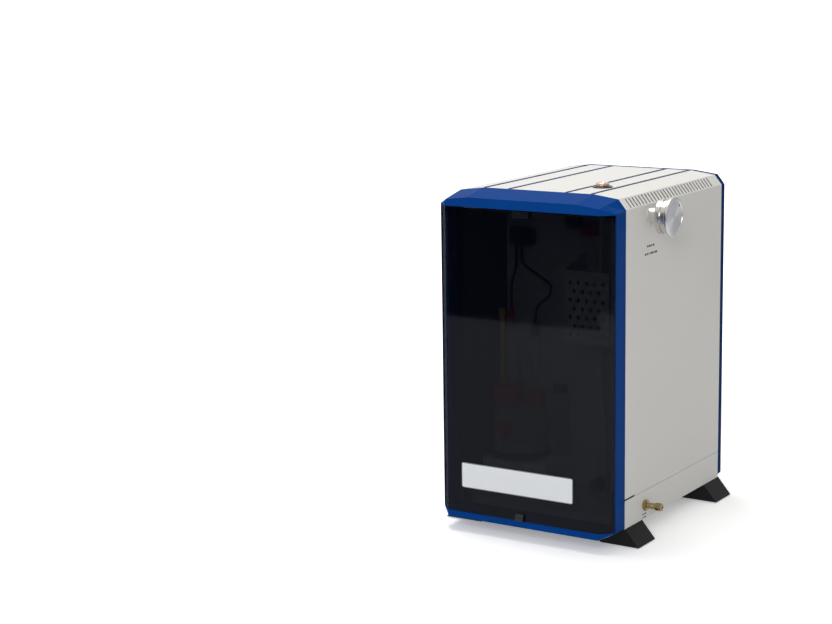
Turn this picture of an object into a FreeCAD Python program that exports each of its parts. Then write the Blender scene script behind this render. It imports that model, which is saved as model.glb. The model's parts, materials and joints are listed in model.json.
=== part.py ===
"""A coulometric water titrator with an oven, as an assembly of separate pieces.

Case frame: x to the right, y to the back, z up. x = 0 is the middle of the case, y = 0 the front edge of
the outer shell and z = 0 the underside of the base pan. Every piece is then placed so that the origin of
the whole object is at the middle of its footprint, on the bench. Millimetres.
"""
import FreeCAD, Part
import Sketcher
import math
import operator
import os

from FreeCAD import Rotation, Vector

SIZES = {
    # case
    "case_width": 250,
    "case_height": 428,
    "shell_depth": 286,
    "sheet_wall": 1.5,
    "roof_flat": 159,
    "roof_shoulder": 229,
    "shoulder_drop": 4.4,
    "corner_drop": 17.5,
    "seam_height": 37,
    "seam_gap": 0.5,
    "joggle_height": 11,
    "pry_slot_length": 28,
    "pry_slot_height": 2,
    "vent_count": 28,
    "vent_width": 3.4,
    "vent_start": 15,
    "vent_end": 27.3,
    "vent_margin": 1.5,
    "trim_width": 4.2,
    "trim_height": 0.6,
    "trim_spacing": 83,
    "clearance": 0.3,
    # front frame and door
    "hood_reach": 45.6,
    "hood_fall": 7.7,
    "hood_band": 20,
    "strip_reach": 30,
    "strip_flare": 2,
    "front_flat": 224,
    "crease_flat": 221,
    "lip_top": 3,
    "lip_drop": 5,
    "frame_wall": 3,
    "hinge_plate": 3,
    "hinge_plate_reach": 17,
    "door_wall": 4,
    "door_recess": 1.2,
    "door_gap": 0.8,
    "door_end_gap": 0.9,
    "hinge_end_gap": 3.2,
    "hinge_inset": 7,
    "pin_radius": 1.5,
    "pin_clearance": 0.05,
    "pin_depth": 9,
    "label_width": 165,
    "label_height": 34,
    "label_bottom": 37,
    "label_offset": -8,
    "label_wall": 0.8,
    "pull_width": 12,
    "pull_height": 9,
    "pull_reach": 3,
    "strike_width": 23,
    "strike_height": 9,
    "strike_wall": 1.5,
    "magnet_depth": 9,
    # rear frame and rear panel
    "rear_frame_depth": 10,
    "rear_frame_width": 9,
    "rear_corner_cut": 5,
    # feet
    "foot_height": 24,
    "foot_length": 48,
    "foot_splay": 19,
    "foot_front_edge": 2,
    "foot_rear_inset": 8,
    "foot_relief": 5,
    "foot_pad_span": 54,
    "pad_length": 38,
    "pad_width": 24,
    "pad_wall": 3.2,
    "pad_proud": 1.2,
    "screw_radius": 2,
    "screw_head_radius": 3.8,
    "screw_head_height": 2.4,
    "foot_screw_span": 140,
    # cabin
    "cabin_left": 115,
    "cabin_right": 104,
    "cabin_depth": 118,
    "cabin_floor_height": 12,
    "cabin_top": 398,
    # knob and valve
    "knob_y": 66,
    "knob_height": 396,
    "knob_reach": 35,
    "knob_disc_radius": 25.5,
    "knob_disc_wall": 4,
    "knob_body_radius": 22.5,
    "knob_body_length": 15,
    "knob_stem_radius": 10.5,
    "knob_groove_width": 1.6,
    "knob_groove_depth": 2,
    "spindle_radius": 4,
    "spindle_clearance": 0.05,
    "bush_radius": 10,
    "bush_wall": 2,
    "valve_radius": 14,
    "valve_length": 18,
    # gas inlet
    "gas_y": 57,
    "gas_height": 18,
    "gas_flange_radius": 7.5,
    "gas_flange_wall": 4,
    "gas_body_radius": 5,
    "gas_nut_radius": 5.6,
    "gas_nut_length": 9,
    "gas_tube_radius": 1.65,
    "gas_reach": 25,
    # injection port
    "port_x": 58,
    "port_y": 66,
    "port_flange_radius": 13,
    "port_flange_height": 1.6,
    "port_neck_radius": 7,
    "port_neck_height": 3,
    "port_nut_radius": 8.6,
    "port_nut_height": 4.4,
    "port_bore_radius": 2,
    "septum_radius": 5,
    "septum_wall": 2.4,
    "needle_radius": 0.5,
    "transfer_radius": 2.4,
    # stirrer and cell
    "platform_left": 108,
    "platform_right": 10,
    "platform_front": 34,
    "platform_back": 116,
    "platform_top": 57,
    "platform_wall": 2,
    "cell_x": -71,
    "cell_y": 75,
    "cell_radius": 36,
    "cell_wall": 2.5,
    "cell_body_height": 66,
    "seat_radius": 40,
    "seat_height": 8,
    "seat_floor": 3,
    "big_neck_offset": -17.5,
    "big_neck_radius": 18,
    "small_neck_offset": 25,
    "small_neck_radius": 8.6,
    "neck_height": 16,
    "front_neck_radius": 7,
    "front_neck_height": 42,
    "front_neck_length": 14,
    "cap_skirt": 3.2,
    "big_cap_height": 24,
    "small_cap_height": 21,
    "front_cap_length": 13,
    "generator_offset": -12,
    "generator_radius": 9,
    "generator_stem_radius": 5,
    "generator_top": 231,
    "plug_radius": 4.6,
    "plug_top": 262,
    "drying_offset": -26.5,
    "drying_radius": 3.2,
    "drying_head_radius": 5,
    "drying_top": 256,
    "detector_radius": 3.6,
    "detector_top": 223,
    "detector_head_radius": 6,
    "detector_head_height": 18,
    "motor_radius": 18,
    "motor_height": 22,
    "motor_shaft_radius": 1.5,
    "magnet_radius": 15,
    "magnet_height": 8,
    "bar_radius": 3,
    "bar_length": 25,
    # second vessel, oven and fittings in the cabin
    "trap_x": -23,
    "trap_y": 101,
    "trap_radius": 12,
    "trap_height": 85,
    "trap_cap_height": 10,
    "gland_x": -86,
    "gland_drop": 49,
    "gland_width": 34,
    "gland_tall": 24,
    "gland_depth": 13,
    "lead_radius": 1.6,
    "guard_left": 6,
    "guard_right": 72,
    "guard_front": 58,
    "guard_bottom": 222,
    "guard_front_top": 318,
    "guard_back_top": 334,
    "guard_wall": 1.2,
    "guard_hole_radius": 2.6,
    "guard_hole_pitch_x": 12,
    "guard_hole_pitch_z": 11.5,
    "guard_hole_rows": 7,
    "guard_hole_columns": 5,
    "oven_x": 42,
    "oven_y": 90,
    "oven_radius": 20,
    "oven_bottom": 230,
    "oven_height": 76,
    "terminal_x": -9,
    "terminal_drop": 26,
    "terminal_width": 22,
    "terminal_tall": 16,
    "terminal_depth": 10,
    "change_valve_x": 16,
    "change_valve_drop": 33,
    "change_valve_side": 18,
    "change_valve_coil": 7,
    "change_valve_reach": 26,
    "regulator_x": 55,
    "regulator_y": 78,
    "regulator_size": 22,
    "regulator_height": 34,
    "regulator_knob_radius": 9,
    "regulator_knob_length": 14,
    # rear side and electronics
    "fan_x": -55,
    "fan_height": 330,
    "fan_size": 80,
    "fan_depth": 25,
    "fan_duct_radius": 37,
    "fan_hub_radius": 15,
    "fan_blade_gap": 1.5,
    "fan_blades": 7,
    "guard_wire_radius": 1,
    "inlet_x": 70,
    "inlet_height": 95,
    "inlet_width": 27,
    "inlet_tall": 20,
    "inlet_flange": 5,
    "inlet_depth": 22,
    "rocker_x": 70,
    "rocker_height": 135,
    "rocker_width": 13,
    "rocker_tall": 19,
    "rocker_depth": 16,
    "socket_x": 20,
    "socket_height": 95,
    "socket_width": 30,
    "socket_tall": 12,
    "supply_width": 98,
    "supply_length": 129,
    "supply_tall": 38,
    "supply_x": -55,
    "supply_y": 126,
    "board_width": 150,
    "board_tall": 170,
    "board_wall": 1.6,
    "board_standoff": 8,
    "board_bottom": 150,
    "chip_side": 28,
    "chip_wall": 3,
    "connector_width": 30,
    "connector_tall": 26,
    "connector_depth": 14,
    "capacitor_radius": 9,
    "capacitor_height": 20,
}

doc = FreeCAD.newDocument("karl_fischer_titrator")
sheet = doc.addObject("Spreadsheet::Sheet", "sizes")


class Size:
    """A length that keeps its spreadsheet expression, so that sums of sizes stay bound to the sheet."""

    def __init__(self, text, value):
        self.text = text
        self.value = value

    def joined(self, sign, other, swap=False):
        a, b = (other, self) if swap else (self, other)
        work = {"+": operator.add, "-": operator.sub, "*": operator.mul, "/": operator.truediv}[sign]
        return Size(f"({text_of(a)} {sign} {text_of(b)})", work(number(a), number(b)))

    def __add__(self, other):
        return self.joined("+", other)

    def __radd__(self, other):
        return self.joined("+", other, True)

    def __sub__(self, other):
        return self.joined("-", other)

    def __rsub__(self, other):
        return self.joined("-", other, True)

    def __mul__(self, other):
        return self.joined("*", other)

    def __rmul__(self, other):
        return self.joined("*", other, True)

    def __truediv__(self, other):
        return self.joined("/", other)

    def __neg__(self):
        return 0 - self


def number(item):
    return item.value if isinstance(item, Size) else item


def text_of(item):
    return item.text if isinstance(item, Size) else repr(item)


def root(item):
    return Size(f"sqrt({text_of(item)})", math.sqrt(number(item)))


class Named:
    """Every driving dimension of the sheet, as an attribute."""


s = Named()
for line, (alias, amount) in enumerate(SIZES.items(), 1):
    sheet.set(f"A{line}", alias)
    sheet.set(f"B{line}", str(amount))
    sheet.setAlias(f"B{line}", alias)
doc.recompute()
for alias in SIZES:
    setattr(s, alias, Size(f"sizes.{alias}", float(getattr(sheet, alias))))

TO_X = Rotation(Vector(0, 1, 0), 90)
TO_BACK = Rotation(Vector(1, 0, 0), -90)
TO_FRONT = Rotation(Vector(1, 0, 0), 90)

half = s.case_width / 2
top = s.case_height
frame_front = -s.hood_reach
door_front = frame_front + s.door_recess
door_back = door_front + s.door_wall
case_back = s.shell_depth + s.rear_frame_depth
foot_rear_edge = case_back - s.foot_rear_inset - s.foot_length
floor_top = s.cabin_floor_height + s.sheet_wall
hood_bottom = top - s.hood_band
door_bottom = s.lip_top + s.door_gap
door_top = hood_bottom - s.door_gap

# the middle of the whole footprint, in the case frame
middle_x = (s.knob_reach - s.foot_splay) / 2
middle_y = (case_back + s.screw_head_height + frame_front - s.pull_reach) / 2

subparts = []


def bind(item, **values):
    for name, amount in values.items():
        if isinstance(amount, Size):
            item.setExpression(name, amount.text)
        else:
            setattr(item, name, amount)


def place(item, label, x=0, y=0, z=0, turn=None):
    """Name a finished sub-part and put it at a point of the case frame."""
    item.Label = label
    if turn:
        item.Placement = FreeCAD.Placement(Vector(), turn)
    item.setExpression("Placement.Base.x", (x - middle_x).text)
    item.setExpression("Placement.Base.y", (y - middle_y).text)
    item.setExpression("Placement.Base.z", (z + s.foot_height).text)
    subparts.append(item)
    return item


def new_body():
    return doc.addObject("PartDesign::Body", "Body")


def origin_item(body, role):
    return next(item for item in body.Origin.OriginFeatures if item.Role == role)


def new_sketch(body, plane, start):
    """A sketch on an origin plane, moved along the plane's positive axis by start."""
    sketch = body.newObject("Sketcher::SketchObject", "Sketch")
    sketch.AttachmentSupport = [(origin_item(body, plane + "_Plane"), "")]
    sketch.MapMode = "FlatFace"
    offset = -start if plane == "XZ" else start
    if isinstance(offset, Size):
        sketch.setExpression("AttachmentOffset.Base.z", offset.text)
    else:
        sketch.AttachmentOffset = FreeCAD.Placement(Vector(0, 0, offset), Rotation())
    return sketch


def hold(sketch, kind, corner, amount):
    """Fix a distance of a sketch point from the origin, or a radius, to a size."""
    if kind == "Radius":
        index = sketch.addConstraint(Sketcher.Constraint(kind, corner[0], number(amount)))
    else:
        index = sketch.addConstraint(Sketcher.Constraint(kind, -1, 1, *corner, number(amount)))
    if isinstance(amount, Size):
        sketch.setExpression(f"Constraints[{index}]", amount.text)


def draw(sketch, loop):
    """Add a closed outline of straight edges, or a circle, held by its sizes."""
    first = sketch.GeometryCount
    if isinstance(loop, tuple):
        x, y, radius = loop
        circle = Part.Circle(Vector(number(x), number(y), 0), Vector(0, 0, 1), number(radius))
        sketch.addGeometry(circle, False)
        hold(sketch, "DistanceX", (first, 3), x)
        hold(sketch, "DistanceY", (first, 3), y)
        hold(sketch, "Radius", (first,), radius)
        return
    corners = [Vector(number(x), number(y), 0) for x, y in loop]
    count = len(corners)
    edges = [Part.LineSegment(corners[i], corners[(i + 1) % count]) for i in range(count)]
    sketch.addGeometry(edges, False)
    for i in range(count):
        sketch.addConstraint(Sketcher.Constraint("Coincident", first + i, 2, first + (i + 1) % count, 1))
    for i, (x, y) in enumerate(loop):
        hold(sketch, "DistanceX", (first + i, 1), x)
        hold(sketch, "DistanceY", (first + i, 1), y)


def rectangle(x0, y0, x1, y1):
    return [(x0, y0), (x1, y0), (x1, y1), (x0, y1)]


def extrude(body, plane, start, length, *loops, cut=False):
    """Pad or pocket outlines along the positive axis of their plane."""
    sketch = new_sketch(body, plane, start)
    for loop in loops:
        draw(sketch, loop)
    feature = body.newObject("PartDesign::Pocket" if cut else "PartDesign::Pad", "Extrusion")
    feature.Profile = sketch
    bind(feature, Length=length)
    feature.Reversed = (plane == "XZ") != cut
    return feature


def turned(body, profile, cut=False):
    """Revolve an outline of (radius, height) points about the body's Z axis."""
    sketch = new_sketch(body, "XZ", 0)
    draw(sketch, profile)
    feature = body.newObject("PartDesign::Groove" if cut else "PartDesign::Revolution", "Turning")
    feature.Profile = sketch
    feature.ReferenceAxis = (sketch, ["V_Axis"])
    feature.Angle = 360
    return feature


def row(body, features, axis, length, count, axis2=None, length2=None, count2=None):
    """Repeat features in a line, or in a grid, over the stated lengths."""
    pattern = body.newObject("PartDesign::LinearPattern", "Row")
    pattern.Originals = features
    pattern.Direction = (origin_item(body, axis + "_Axis"), [""])
    bind(pattern, Length=length, Occurrences=count)
    if axis2:
        pattern.Direction2 = (origin_item(body, axis2 + "_Axis"), [""])
        bind(pattern, Length2=length2, Occurrences2=count2)
    body.Tip = pattern
    return pattern


def around(body, features, count):
    """Repeat features around the body's Z axis."""
    pattern = body.newObject("PartDesign::PolarPattern", "Ring")
    pattern.Originals = features
    pattern.Axis = (origin_item(body, "Z_Axis"), [""])
    pattern.Angle = 360
    bind(pattern, Occurrences=count)
    body.Tip = pattern
    return pattern


def rounded(body, feature, radius, wanted, kind="Fillet"):
    """Round or chamfer the edges of a feature whose middle passes a test."""
    doc.recompute()
    edges = []
    for index, edge in enumerate(feature.Shape.Edges, 1):
        middle = edge.valueAt((edge.FirstParameter + edge.LastParameter) / 2)
        if wanted(edge, middle):
            edges.append(f"Edge{index}")
    item = body.newObject("PartDesign::" + kind, kind)
    item.Base = (feature, edges)
    bind(item, **{"Radius" if kind == "Fillet" else "Size": radius})
    return item


def upright(edge, middle):
    return abs(edge.tangentAt(edge.FirstParameter).z) > 0.99


def plain(shape):
    """A sub-part whose shape is worked out from the sizes with Part's own functions."""
    item = doc.addObject("Part::Feature", "Shape")
    item.Shape = shape
    return item


def vector(x, y, z):
    return Vector(number(x), number(y), number(z))


def both_sides(points):
    """A closed outline from its right half, listed from the bottom up."""
    return points + [(-x, z) for x, z in reversed(points)]


def case_profile():
    """The right half of the case's cross-section above the seam, from the side up to the roof."""
    return [
        (half, top - s.corner_drop),
        (s.roof_shoulder / 2, top - s.shoulder_drop),
        (s.roof_flat / 2, top),
    ]


def inner_profile(wall):
    """The same half outline, one wall further in."""
    return [
        (half - wall, top - s.corner_drop - wall * 0.35),
        (s.roof_shoulder / 2 - wall * 0.53, top - s.shoulder_drop - wall * 0.94),
        (s.roof_flat / 2 - wall * 0.06, top - wall),
    ]


# Outer case

def outer_shell():
    """Folded sheet over the roof and both sides, open below, with the vents and the fitting holes."""
    body = new_body()
    seam = s.seam_height + s.seam_gap
    outside = both_sides([(half, seam)] + case_profile())
    inside = both_sides([(half - s.sheet_wall, seam)] + inner_profile(s.sheet_wall))
    extrude(body, "XZ", 0, s.shell_depth, outside + inside[::-1])
    # a long notch in the front of each lower edge, for lifting the shell off
    notch = rectangle(0, seam, s.pry_slot_length, seam + s.pry_slot_height)
    extrude(body, "YZ", -half, s.case_width, notch, cut=True)
    for side in (-1, 1):
        outline = [(side * x, z) for x, z in vent_outline()]
        slot = extrude(body, "XZ", s.vent_start, s.vent_width, outline, cut=True)
        run = s.shell_depth - s.vent_start - s.vent_end - s.vent_width
        row(body, [slot], "Y", run, s.vent_count)
    spindle_hole = (s.knob_y, s.knob_height, s.spindle_radius + s.bush_wall + s.clearance)
    extrude(body, "YZ", half - s.sheet_wall * 2, s.sheet_wall * 3, spindle_hole, cut=True)
    port_hole = (s.port_x, s.port_y, s.port_neck_radius + s.clearance)
    extrude(body, "XY", top - s.sheet_wall * 2, s.sheet_wall * 3, port_hole, cut=True)
    return place(body, "outer_shell")


def vent_outline():
    """A slot through the right steep facet, square to the sheet, in the plane of the cross-section."""
    low, high = case_profile()[:2]
    run_x = high[0] - low[0]
    run_z = high[1] - low[1]
    length = root(run_x * run_x + run_z * run_z)
    along = (run_x / length, run_z / length)
    depth = s.sheet_wall * 2
    corners = []
    for distance, side in ((s.vent_margin, 1), (length - s.vent_margin, 1), (length - s.vent_margin, -1),
                           (s.vent_margin, -1)):
        x = low[0] + along[0] * distance + along[1] * depth * side
        z = low[1] + along[1] * distance - along[0] * depth * side
        corners.append((x, z))
    return corners


def roof_trim_strips():
    """Four thin blue strips along the flat of the roof."""
    body = new_body()
    edge = s.roof_flat / 2
    for far in (edge, s.trim_spacing / 2 + s.trim_width / 2):
        for x in (far - s.trim_width, -far):
            strip = rectangle(x, top, x + s.trim_width, top + s.trim_height)
            extrude(body, "XZ", s.clearance, s.shell_depth - 2 * s.clearance, strip)
    return place(body, "roof_trim_strips")


def base_pan():
    """Folded pan under the case: floor, low side walls, and a joggled flange behind each seam."""
    body = new_body()
    wall = s.sheet_wall
    step = s.seam_height - wall
    flange = half - wall - s.clearance
    right = [
        (half, 0),
        (half, s.seam_height),
        (flange, s.seam_height),
        (flange, s.seam_height + s.joggle_height),
        (flange - wall, s.seam_height + s.joggle_height),
        (flange - wall, step),
        (half - wall, step - wall),
        (half - wall, wall),
    ]
    extrude(body, "XZ", 0, s.shell_depth, right + [(-x, z) for x, z in reversed(right)])
    inlet_hole = (s.gas_y, s.gas_height, s.gas_body_radius + s.clearance)
    extrude(body, "YZ", half - wall * 2, wall * 3, inlet_hole, cut=True)
    holes = [(x, y, s.screw_radius + s.pin_clearance) for x, y in foot_screw_places()]
    extrude(body, "XY", -wall, wall * 3, *holes, cut=True)
    return place(body, "base_pan")


def foot_middles():
    return [s.foot_front_edge + s.foot_length / 2, foot_rear_edge + s.foot_length / 2]


def foot_screw_places():
    return [(side * s.foot_screw_span / 2, y) for y in foot_middles() for side in (-1, 1)]


def front_frame():
    """Hood, side strips and lip around the door, hollow, with a bored hinge plate at each end."""
    level = [s.lip_drop * 0, s.lip_drop * 0.6, s.lip_drop]
    fall = [s.hood_fall * 0, s.hood_fall * s.strip_reach / s.hood_reach, s.hood_fall]
    depth = [s.hood_reach * 0, s.strip_reach, s.hood_reach]
    flat = s.roof_flat / 2
    ratio = s.strip_reach / s.hood_reach
    shoulder = s.roof_shoulder / 2
    crease = s.crease_flat / 2
    front = s.front_flat / 2
    side = half + s.strip_flare
    crease_drop = s.shoulder_drop * (crease - flat) / (shoulder - flat)
    sections = [
        [(half - 1, 0), (half, 1), (half, top - s.corner_drop), (shoulder, top - s.shoulder_drop),
         (flat, top)],
        [(half - s.lip_drop * 1.4, -level[1]), (side, s.lip_top), (side, hood_bottom + 1),
         (shoulder + (crease - shoulder) * ratio,
          top - s.shoulder_drop - (crease_drop - s.shoulder_drop) * ratio - fall[1]),
         (flat, top - fall[1])],
        [(front - 2, -level[2]), (front, 2 - level[2]), (front, hood_bottom),
         (crease, top - crease_drop - fall[2]), (flat, top - fall[2])],
    ]
    outer_sections = []
    for points, y in zip(sections, depth):
        outer_sections.append([vector(x, -y, z) for x, z in both_sides(points)])
    outer = faceted(outer_sections)
    wall = s.frame_wall
    inset = [(-wall, wall), (-wall, wall), (-wall, -wall / 3), (-wall / 2, -wall), (wall * 0, -wall)]
    reach = [depth[0] - 1, depth[1], depth[2] - wall]
    hollow_sections = []
    for points, y in zip(sections, reach):
        moved = [(px + dx, pz + dz) for (px, pz), (dx, dz) in zip(points, inset)]
        hollow_sections.append([vector(x, -y, z) for x, z in both_sides(moved)])
    hollow = faceted(hollow_sections)
    frame = outer.cut(hollow).cut(door_window())
    pivot_x, pivot_y = return_point(-1, s.hinge_inset, s.door_recess + s.door_wall / 2)
    for low in (s.lip_top - s.hinge_plate, hood_bottom):
        plate_end = pivot_x + s.hinge_plate_reach
        plate = block(-side, -s.hood_reach, low, plate_end, pivot_y + 8, low + s.hinge_plate)
        frame = frame.fuse(plate.common(outer))
    bore_radius = number(s.pin_radius + s.pin_clearance)
    bore = Part.makeCylinder(bore_radius, number(top), vector(pivot_x, pivot_y, -10))
    holes = bore.common(block(-side, -s.hood_reach, s.lip_top - s.hinge_plate, 0, 0, s.lip_top))
    upper = block(-side, -s.hood_reach, hood_bottom, 0, 0, hood_bottom + s.hinge_plate)
    holes = holes.fuse(bore.common(upper))
    return place(plain(frame.cut(holes).removeSplitter()), "front_frame")


def block(x0, y0, z0, x1, y1, z1):
    low = vector(x0, y0, z0)
    size = vector(x1, y1, z1) - low
    return Part.makeBox(size.x, size.y, size.z, low)


def faceted(sections):
    """A solid with flat faces between matching outlines; a twisted face becomes two triangles."""
    faces = [flat_face(sections[0]), flat_face(sections[-1])]
    for near, far in zip(sections, sections[1:]):
        for i in range(len(near)):
            j = (i + 1) % len(near)
            corners = [near[i], near[j], far[j], far[i]]
            normal = (corners[1] - corners[0]).cross(corners[2] - corners[0])
            lift = abs((corners[3] - corners[0]).dot(normal)) / normal.Length
            if lift < 1e-6:
                faces.append(flat_face(corners))
            else:
                faces.append(flat_face(corners[:3]))
                faces.append(flat_face([corners[0], corners[2], corners[3]]))
    solid = Part.Solid(Part.Shell(faces))
    if solid.Volume < 0:
        solid.reverse()
    return solid


def flat_face(corners):
    return Part.Face(Part.makePolygon(corners + corners[:1]))


def door_window():
    """The door's opening: everything before the side strips' ends, which are square to the returns."""
    side = half + s.strip_flare + 1
    before = -s.hood_reach - 1
    corners = [
        (side, before), (side, -s.strip_reach), return_point(1, 0, 0), return_point(1, 0, s.frame_wall * 3),
        return_point(-1, 0, s.frame_wall * 3), return_point(-1, 0, 0), (-side, -s.strip_reach),
        (-side, before),
    ]
    base = flat_face([vector(x, y, s.lip_top) for x, y in corners])
    return base.extrude(vector(0, 0, hood_bottom - s.lip_top))


def return_run():
    """Length and direction of the door's slanting return, from the side strip to the front."""
    run_x = half + s.strip_flare - s.front_flat / 2
    run_y = s.hood_reach - s.strip_reach
    run = root(run_x * run_x + run_y * run_y)
    return run_x / run, run_y / run


def return_point(side, distance, depth):
    """A point on a return: distance along it from the side strip, depth behind the frame's surface."""
    run_x, run_y = return_run()
    x = half + s.strip_flare - distance * run_x - depth * run_y
    y = -s.strip_reach - distance * run_y + depth * run_x
    return side * x, y


def crease_point(side, depth):
    """The bend between a return and the front, depth behind the frame's surface."""
    run_x, run_y = return_run()
    return side * (s.front_flat / 2 - depth * run_y / (1 + run_x)), frame_front + depth


def rear_frame():
    """Blue ring on the back of the case, with cut lower corners."""
    body = new_body()
    cut = s.rear_corner_cut
    width = s.rear_frame_width
    outside = both_sides([(half - cut, 0), (half, cut)] + case_profile())
    inside = both_sides([(half - width, width)] + inner_profile(width))
    extrude(body, "XZ", s.shell_depth, s.rear_frame_depth, outside, inside)
    holes = [(x, z, s.screw_radius + s.pin_clearance) for x, z in frame_screw_places()]
    extrude(body, "XZ", s.shell_depth, s.rear_frame_depth, *holes, cut=True)
    return place(body, "rear_frame")


def frame_screw_places():
    x = half - s.rear_frame_width * 0.68
    return [(side * x, z) for z in (s.rear_frame_width * 1.6, top - s.corner_drop * 2) for side in (-1, 1)]


def rear_panel():
    """Flat panel inside the rear frame, with cut-outs for the fan, mains inlet and data socket."""
    body = new_body()
    inset = 2 * s.sheet_wall + 2 * s.clearance
    outline = both_sides([(half - inset, s.sheet_wall + s.clearance)] + inner_profile(inset))
    back = s.shell_depth - s.sheet_wall
    extrude(body, "XZ", back, s.sheet_wall, outline)
    duct = (s.fan_x, s.fan_height, s.fan_duct_radius)
    extrude(body, "XZ", back, s.sheet_wall, duct, cut=True)
    low, high = inlet_span()
    inlet = rectangle(s.inlet_x - s.inlet_width / 2 - s.clearance, low - s.clearance,
                      s.inlet_x + s.inlet_width / 2 + s.clearance, high + s.clearance)
    wide = s.socket_width / 2 + s.clearance
    tall = s.socket_tall / 2 + s.clearance
    socket = rectangle(s.socket_x - wide, s.socket_height - tall, s.socket_x + wide, s.socket_height + tall)
    extrude(body, "XZ", back, s.sheet_wall, inlet, socket, cut=True)
    holes = [(x, z, s.screw_radius + s.pin_clearance) for x, z in frame_screw_places()]
    extrude(body, "XZ", back, s.sheet_wall, *holes, cut=True)
    return place(body, "rear_panel")


# Feet and screws

def foot_bars():
    """Two cross bars with splayed ends, hollowed a little below, each with a recess for its pads."""
    body = new_body()
    bottom = -s.foot_height + s.pad_proud
    inner = half + s.foot_splay - s.foot_pad_span
    right = [
        (half, 0),
        (half + s.foot_splay, bottom),
        (inner, bottom),
        (inner - s.foot_relief * 2, bottom + s.foot_relief),
    ]
    outline = right + [(-x, z) for x, z in reversed(right)]
    for start in (s.foot_front_edge, foot_rear_edge):
        extrude(body, "XZ", start, s.foot_length, outline)
    recess = s.pad_wall - s.pad_proud
    pads = [pad_outline(side, y, s.clearance) for y in foot_middles() for side in (-1, 1)]
    extrude(body, "XY", bottom, recess, *pads, cut=True)
    holes = [(x, y, s.screw_radius + s.pin_clearance) for x, y in foot_screw_places()]
    extrude(body, "XY", bottom, s.foot_height, *holes, cut=True)
    return place(body, "foot_bars")


def pad_outline(side, y, gap):
    near = half + s.foot_splay - s.foot_pad_span / 2 - s.pad_length / 2
    edges = sorted((side * (near - gap), side * (near + s.pad_length + gap)), key=number)
    return rectangle(edges[0], y - s.pad_width / 2 - gap, edges[1], y + s.pad_width / 2 + gap)


def foot_pads():
    """Four rubber pads let into the foot bars; the whole object stands on them."""
    body = new_body()
    pads = [pad_outline(side, y, 0) for y in foot_middles() for side in (-1, 1)]
    extrude(body, "XY", -s.foot_height, s.pad_wall, *pads)
    return place(body, "foot_pads")


def case_screws():
    """Eight alike screws: four up through the foot bars, four into the rear frame."""
    head = s.screw_head_height
    length = s.foot_height
    under_foot = -s.foot_height + s.pad_proud + s.foot_relief
    screws = []
    for x, y in foot_screw_places():
        screws.append(screw_shape(head, length, vector(x, y, under_foot), Rotation(Vector(1, 0, 0), 180)))
    for x, z in frame_screw_places():
        screws.append(screw_shape(head, length, vector(x, case_back, z), TO_BACK))
    return place(plain(Part.makeCompound(screws)), "case_screws")


def screw_shape(head, length, seat, turn):
    """A screw whose head stands on its seat and whose shank goes the other way."""
    shape = Part.makeCylinder(number(s.screw_head_radius), number(head))
    shape = shape.fuse(Part.makeCylinder(number(s.screw_radius), number(length), vector(0, 0, -length)))
    shape.Placement = FreeCAD.Placement(seat, turn)
    return shape


# Cabin

def cabin_liner():
    """Light folded wall round the cabin: left side, back and right side, with front flanges."""
    body = new_body()
    wall = s.sheet_wall
    left, right, back = -s.cabin_left, s.cabin_right, s.cabin_depth
    gap = s.clearance
    edge = half - wall - gap
    outline = [
        (-edge, gap), (left, gap), (left, back), (right, back), (right, gap), (edge, gap),
        (edge, gap + wall), (right + wall, gap + wall), (right + wall, back + wall),
        (left - wall, back + wall), (left - wall, gap + wall), (-edge, gap + wall),
    ]
    low = s.seam_height + s.joggle_height + gap
    extrude(body, "XY", floor_top, s.cabin_top - floor_top, outline)
    # the flanges stop above the base pan's joggled walls
    left_flange = rectangle(-edge - 1, 0, left - wall, gap + wall + 1)
    right_flange = rectangle(right + wall, 0, edge + 1, gap + wall + 1)
    extrude(body, "XY", floor_top, low - floor_top, left_flange, right_flange, cut=True)
    tube_hole = (tube_route()[1][1] + 3, tube_route()[1][2], s.gas_tube_radius * 4)
    extrude(body, "YZ", right - wall, wall * 3, tube_hole, cut=True)
    return place(body, "cabin_liner")


def cabin_floor():
    """Channel-shaped floor of the cabin, standing on its two legs in the base pan."""
    body = new_body()
    wall = s.sheet_wall
    left, right, under = -s.cabin_left, s.cabin_right, s.cabin_floor_height
    outline = [
        (left - wall, wall), (left, wall), (left, under), (right, under), (right, wall),
        (right + wall, wall), (right + wall, floor_top), (left - wall, floor_top),
    ]
    extrude(body, "XZ", s.clearance, s.cabin_depth + wall - s.clearance, outline)
    apron = rectangle(left, s.clearance, right, s.clearance + wall)
    extrude(body, "XY", wall, under - wall, apron)
    return place(body, "cabin_floor")


def cabin_ceiling():
    """Flat plate on top of the cabin walls, bored for the tube from the injection port."""
    body = new_body()
    wall = s.sheet_wall
    plate = rectangle(-s.cabin_left - wall, s.clearance, s.cabin_right + wall, s.cabin_depth + wall)
    extrude(body, "XY", s.cabin_top, wall, plate, (s.port_x, s.port_y, s.transfer_radius * 3))
    return place(body, "cabin_ceiling")


# Door

def door_panel():
    """Tinted three-facet sheet, bored above and below on the left for its two pins."""
    body = new_body()
    near, far = s.door_recess, s.door_recess + s.door_wall
    outline = [
        return_point(-1, s.hinge_end_gap, near), crease_point(-1, near), crease_point(1, near),
        return_point(1, s.door_end_gap, near), return_point(1, s.door_end_gap, far), crease_point(1, far),
        crease_point(-1, far), return_point(-1, s.hinge_end_gap, far),
    ]
    extrude(body, "XY", door_bottom, door_top - door_bottom, outline)
    for low in (door_bottom, door_top - s.pin_depth):
        extrude(body, "XY", low, s.pin_depth, (*pivot(), s.pin_radius), cut=True)
    return place(body, "door_panel")


def pivot():
    return return_point(-1, s.hinge_inset, s.door_recess + s.door_wall / 2)


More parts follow.
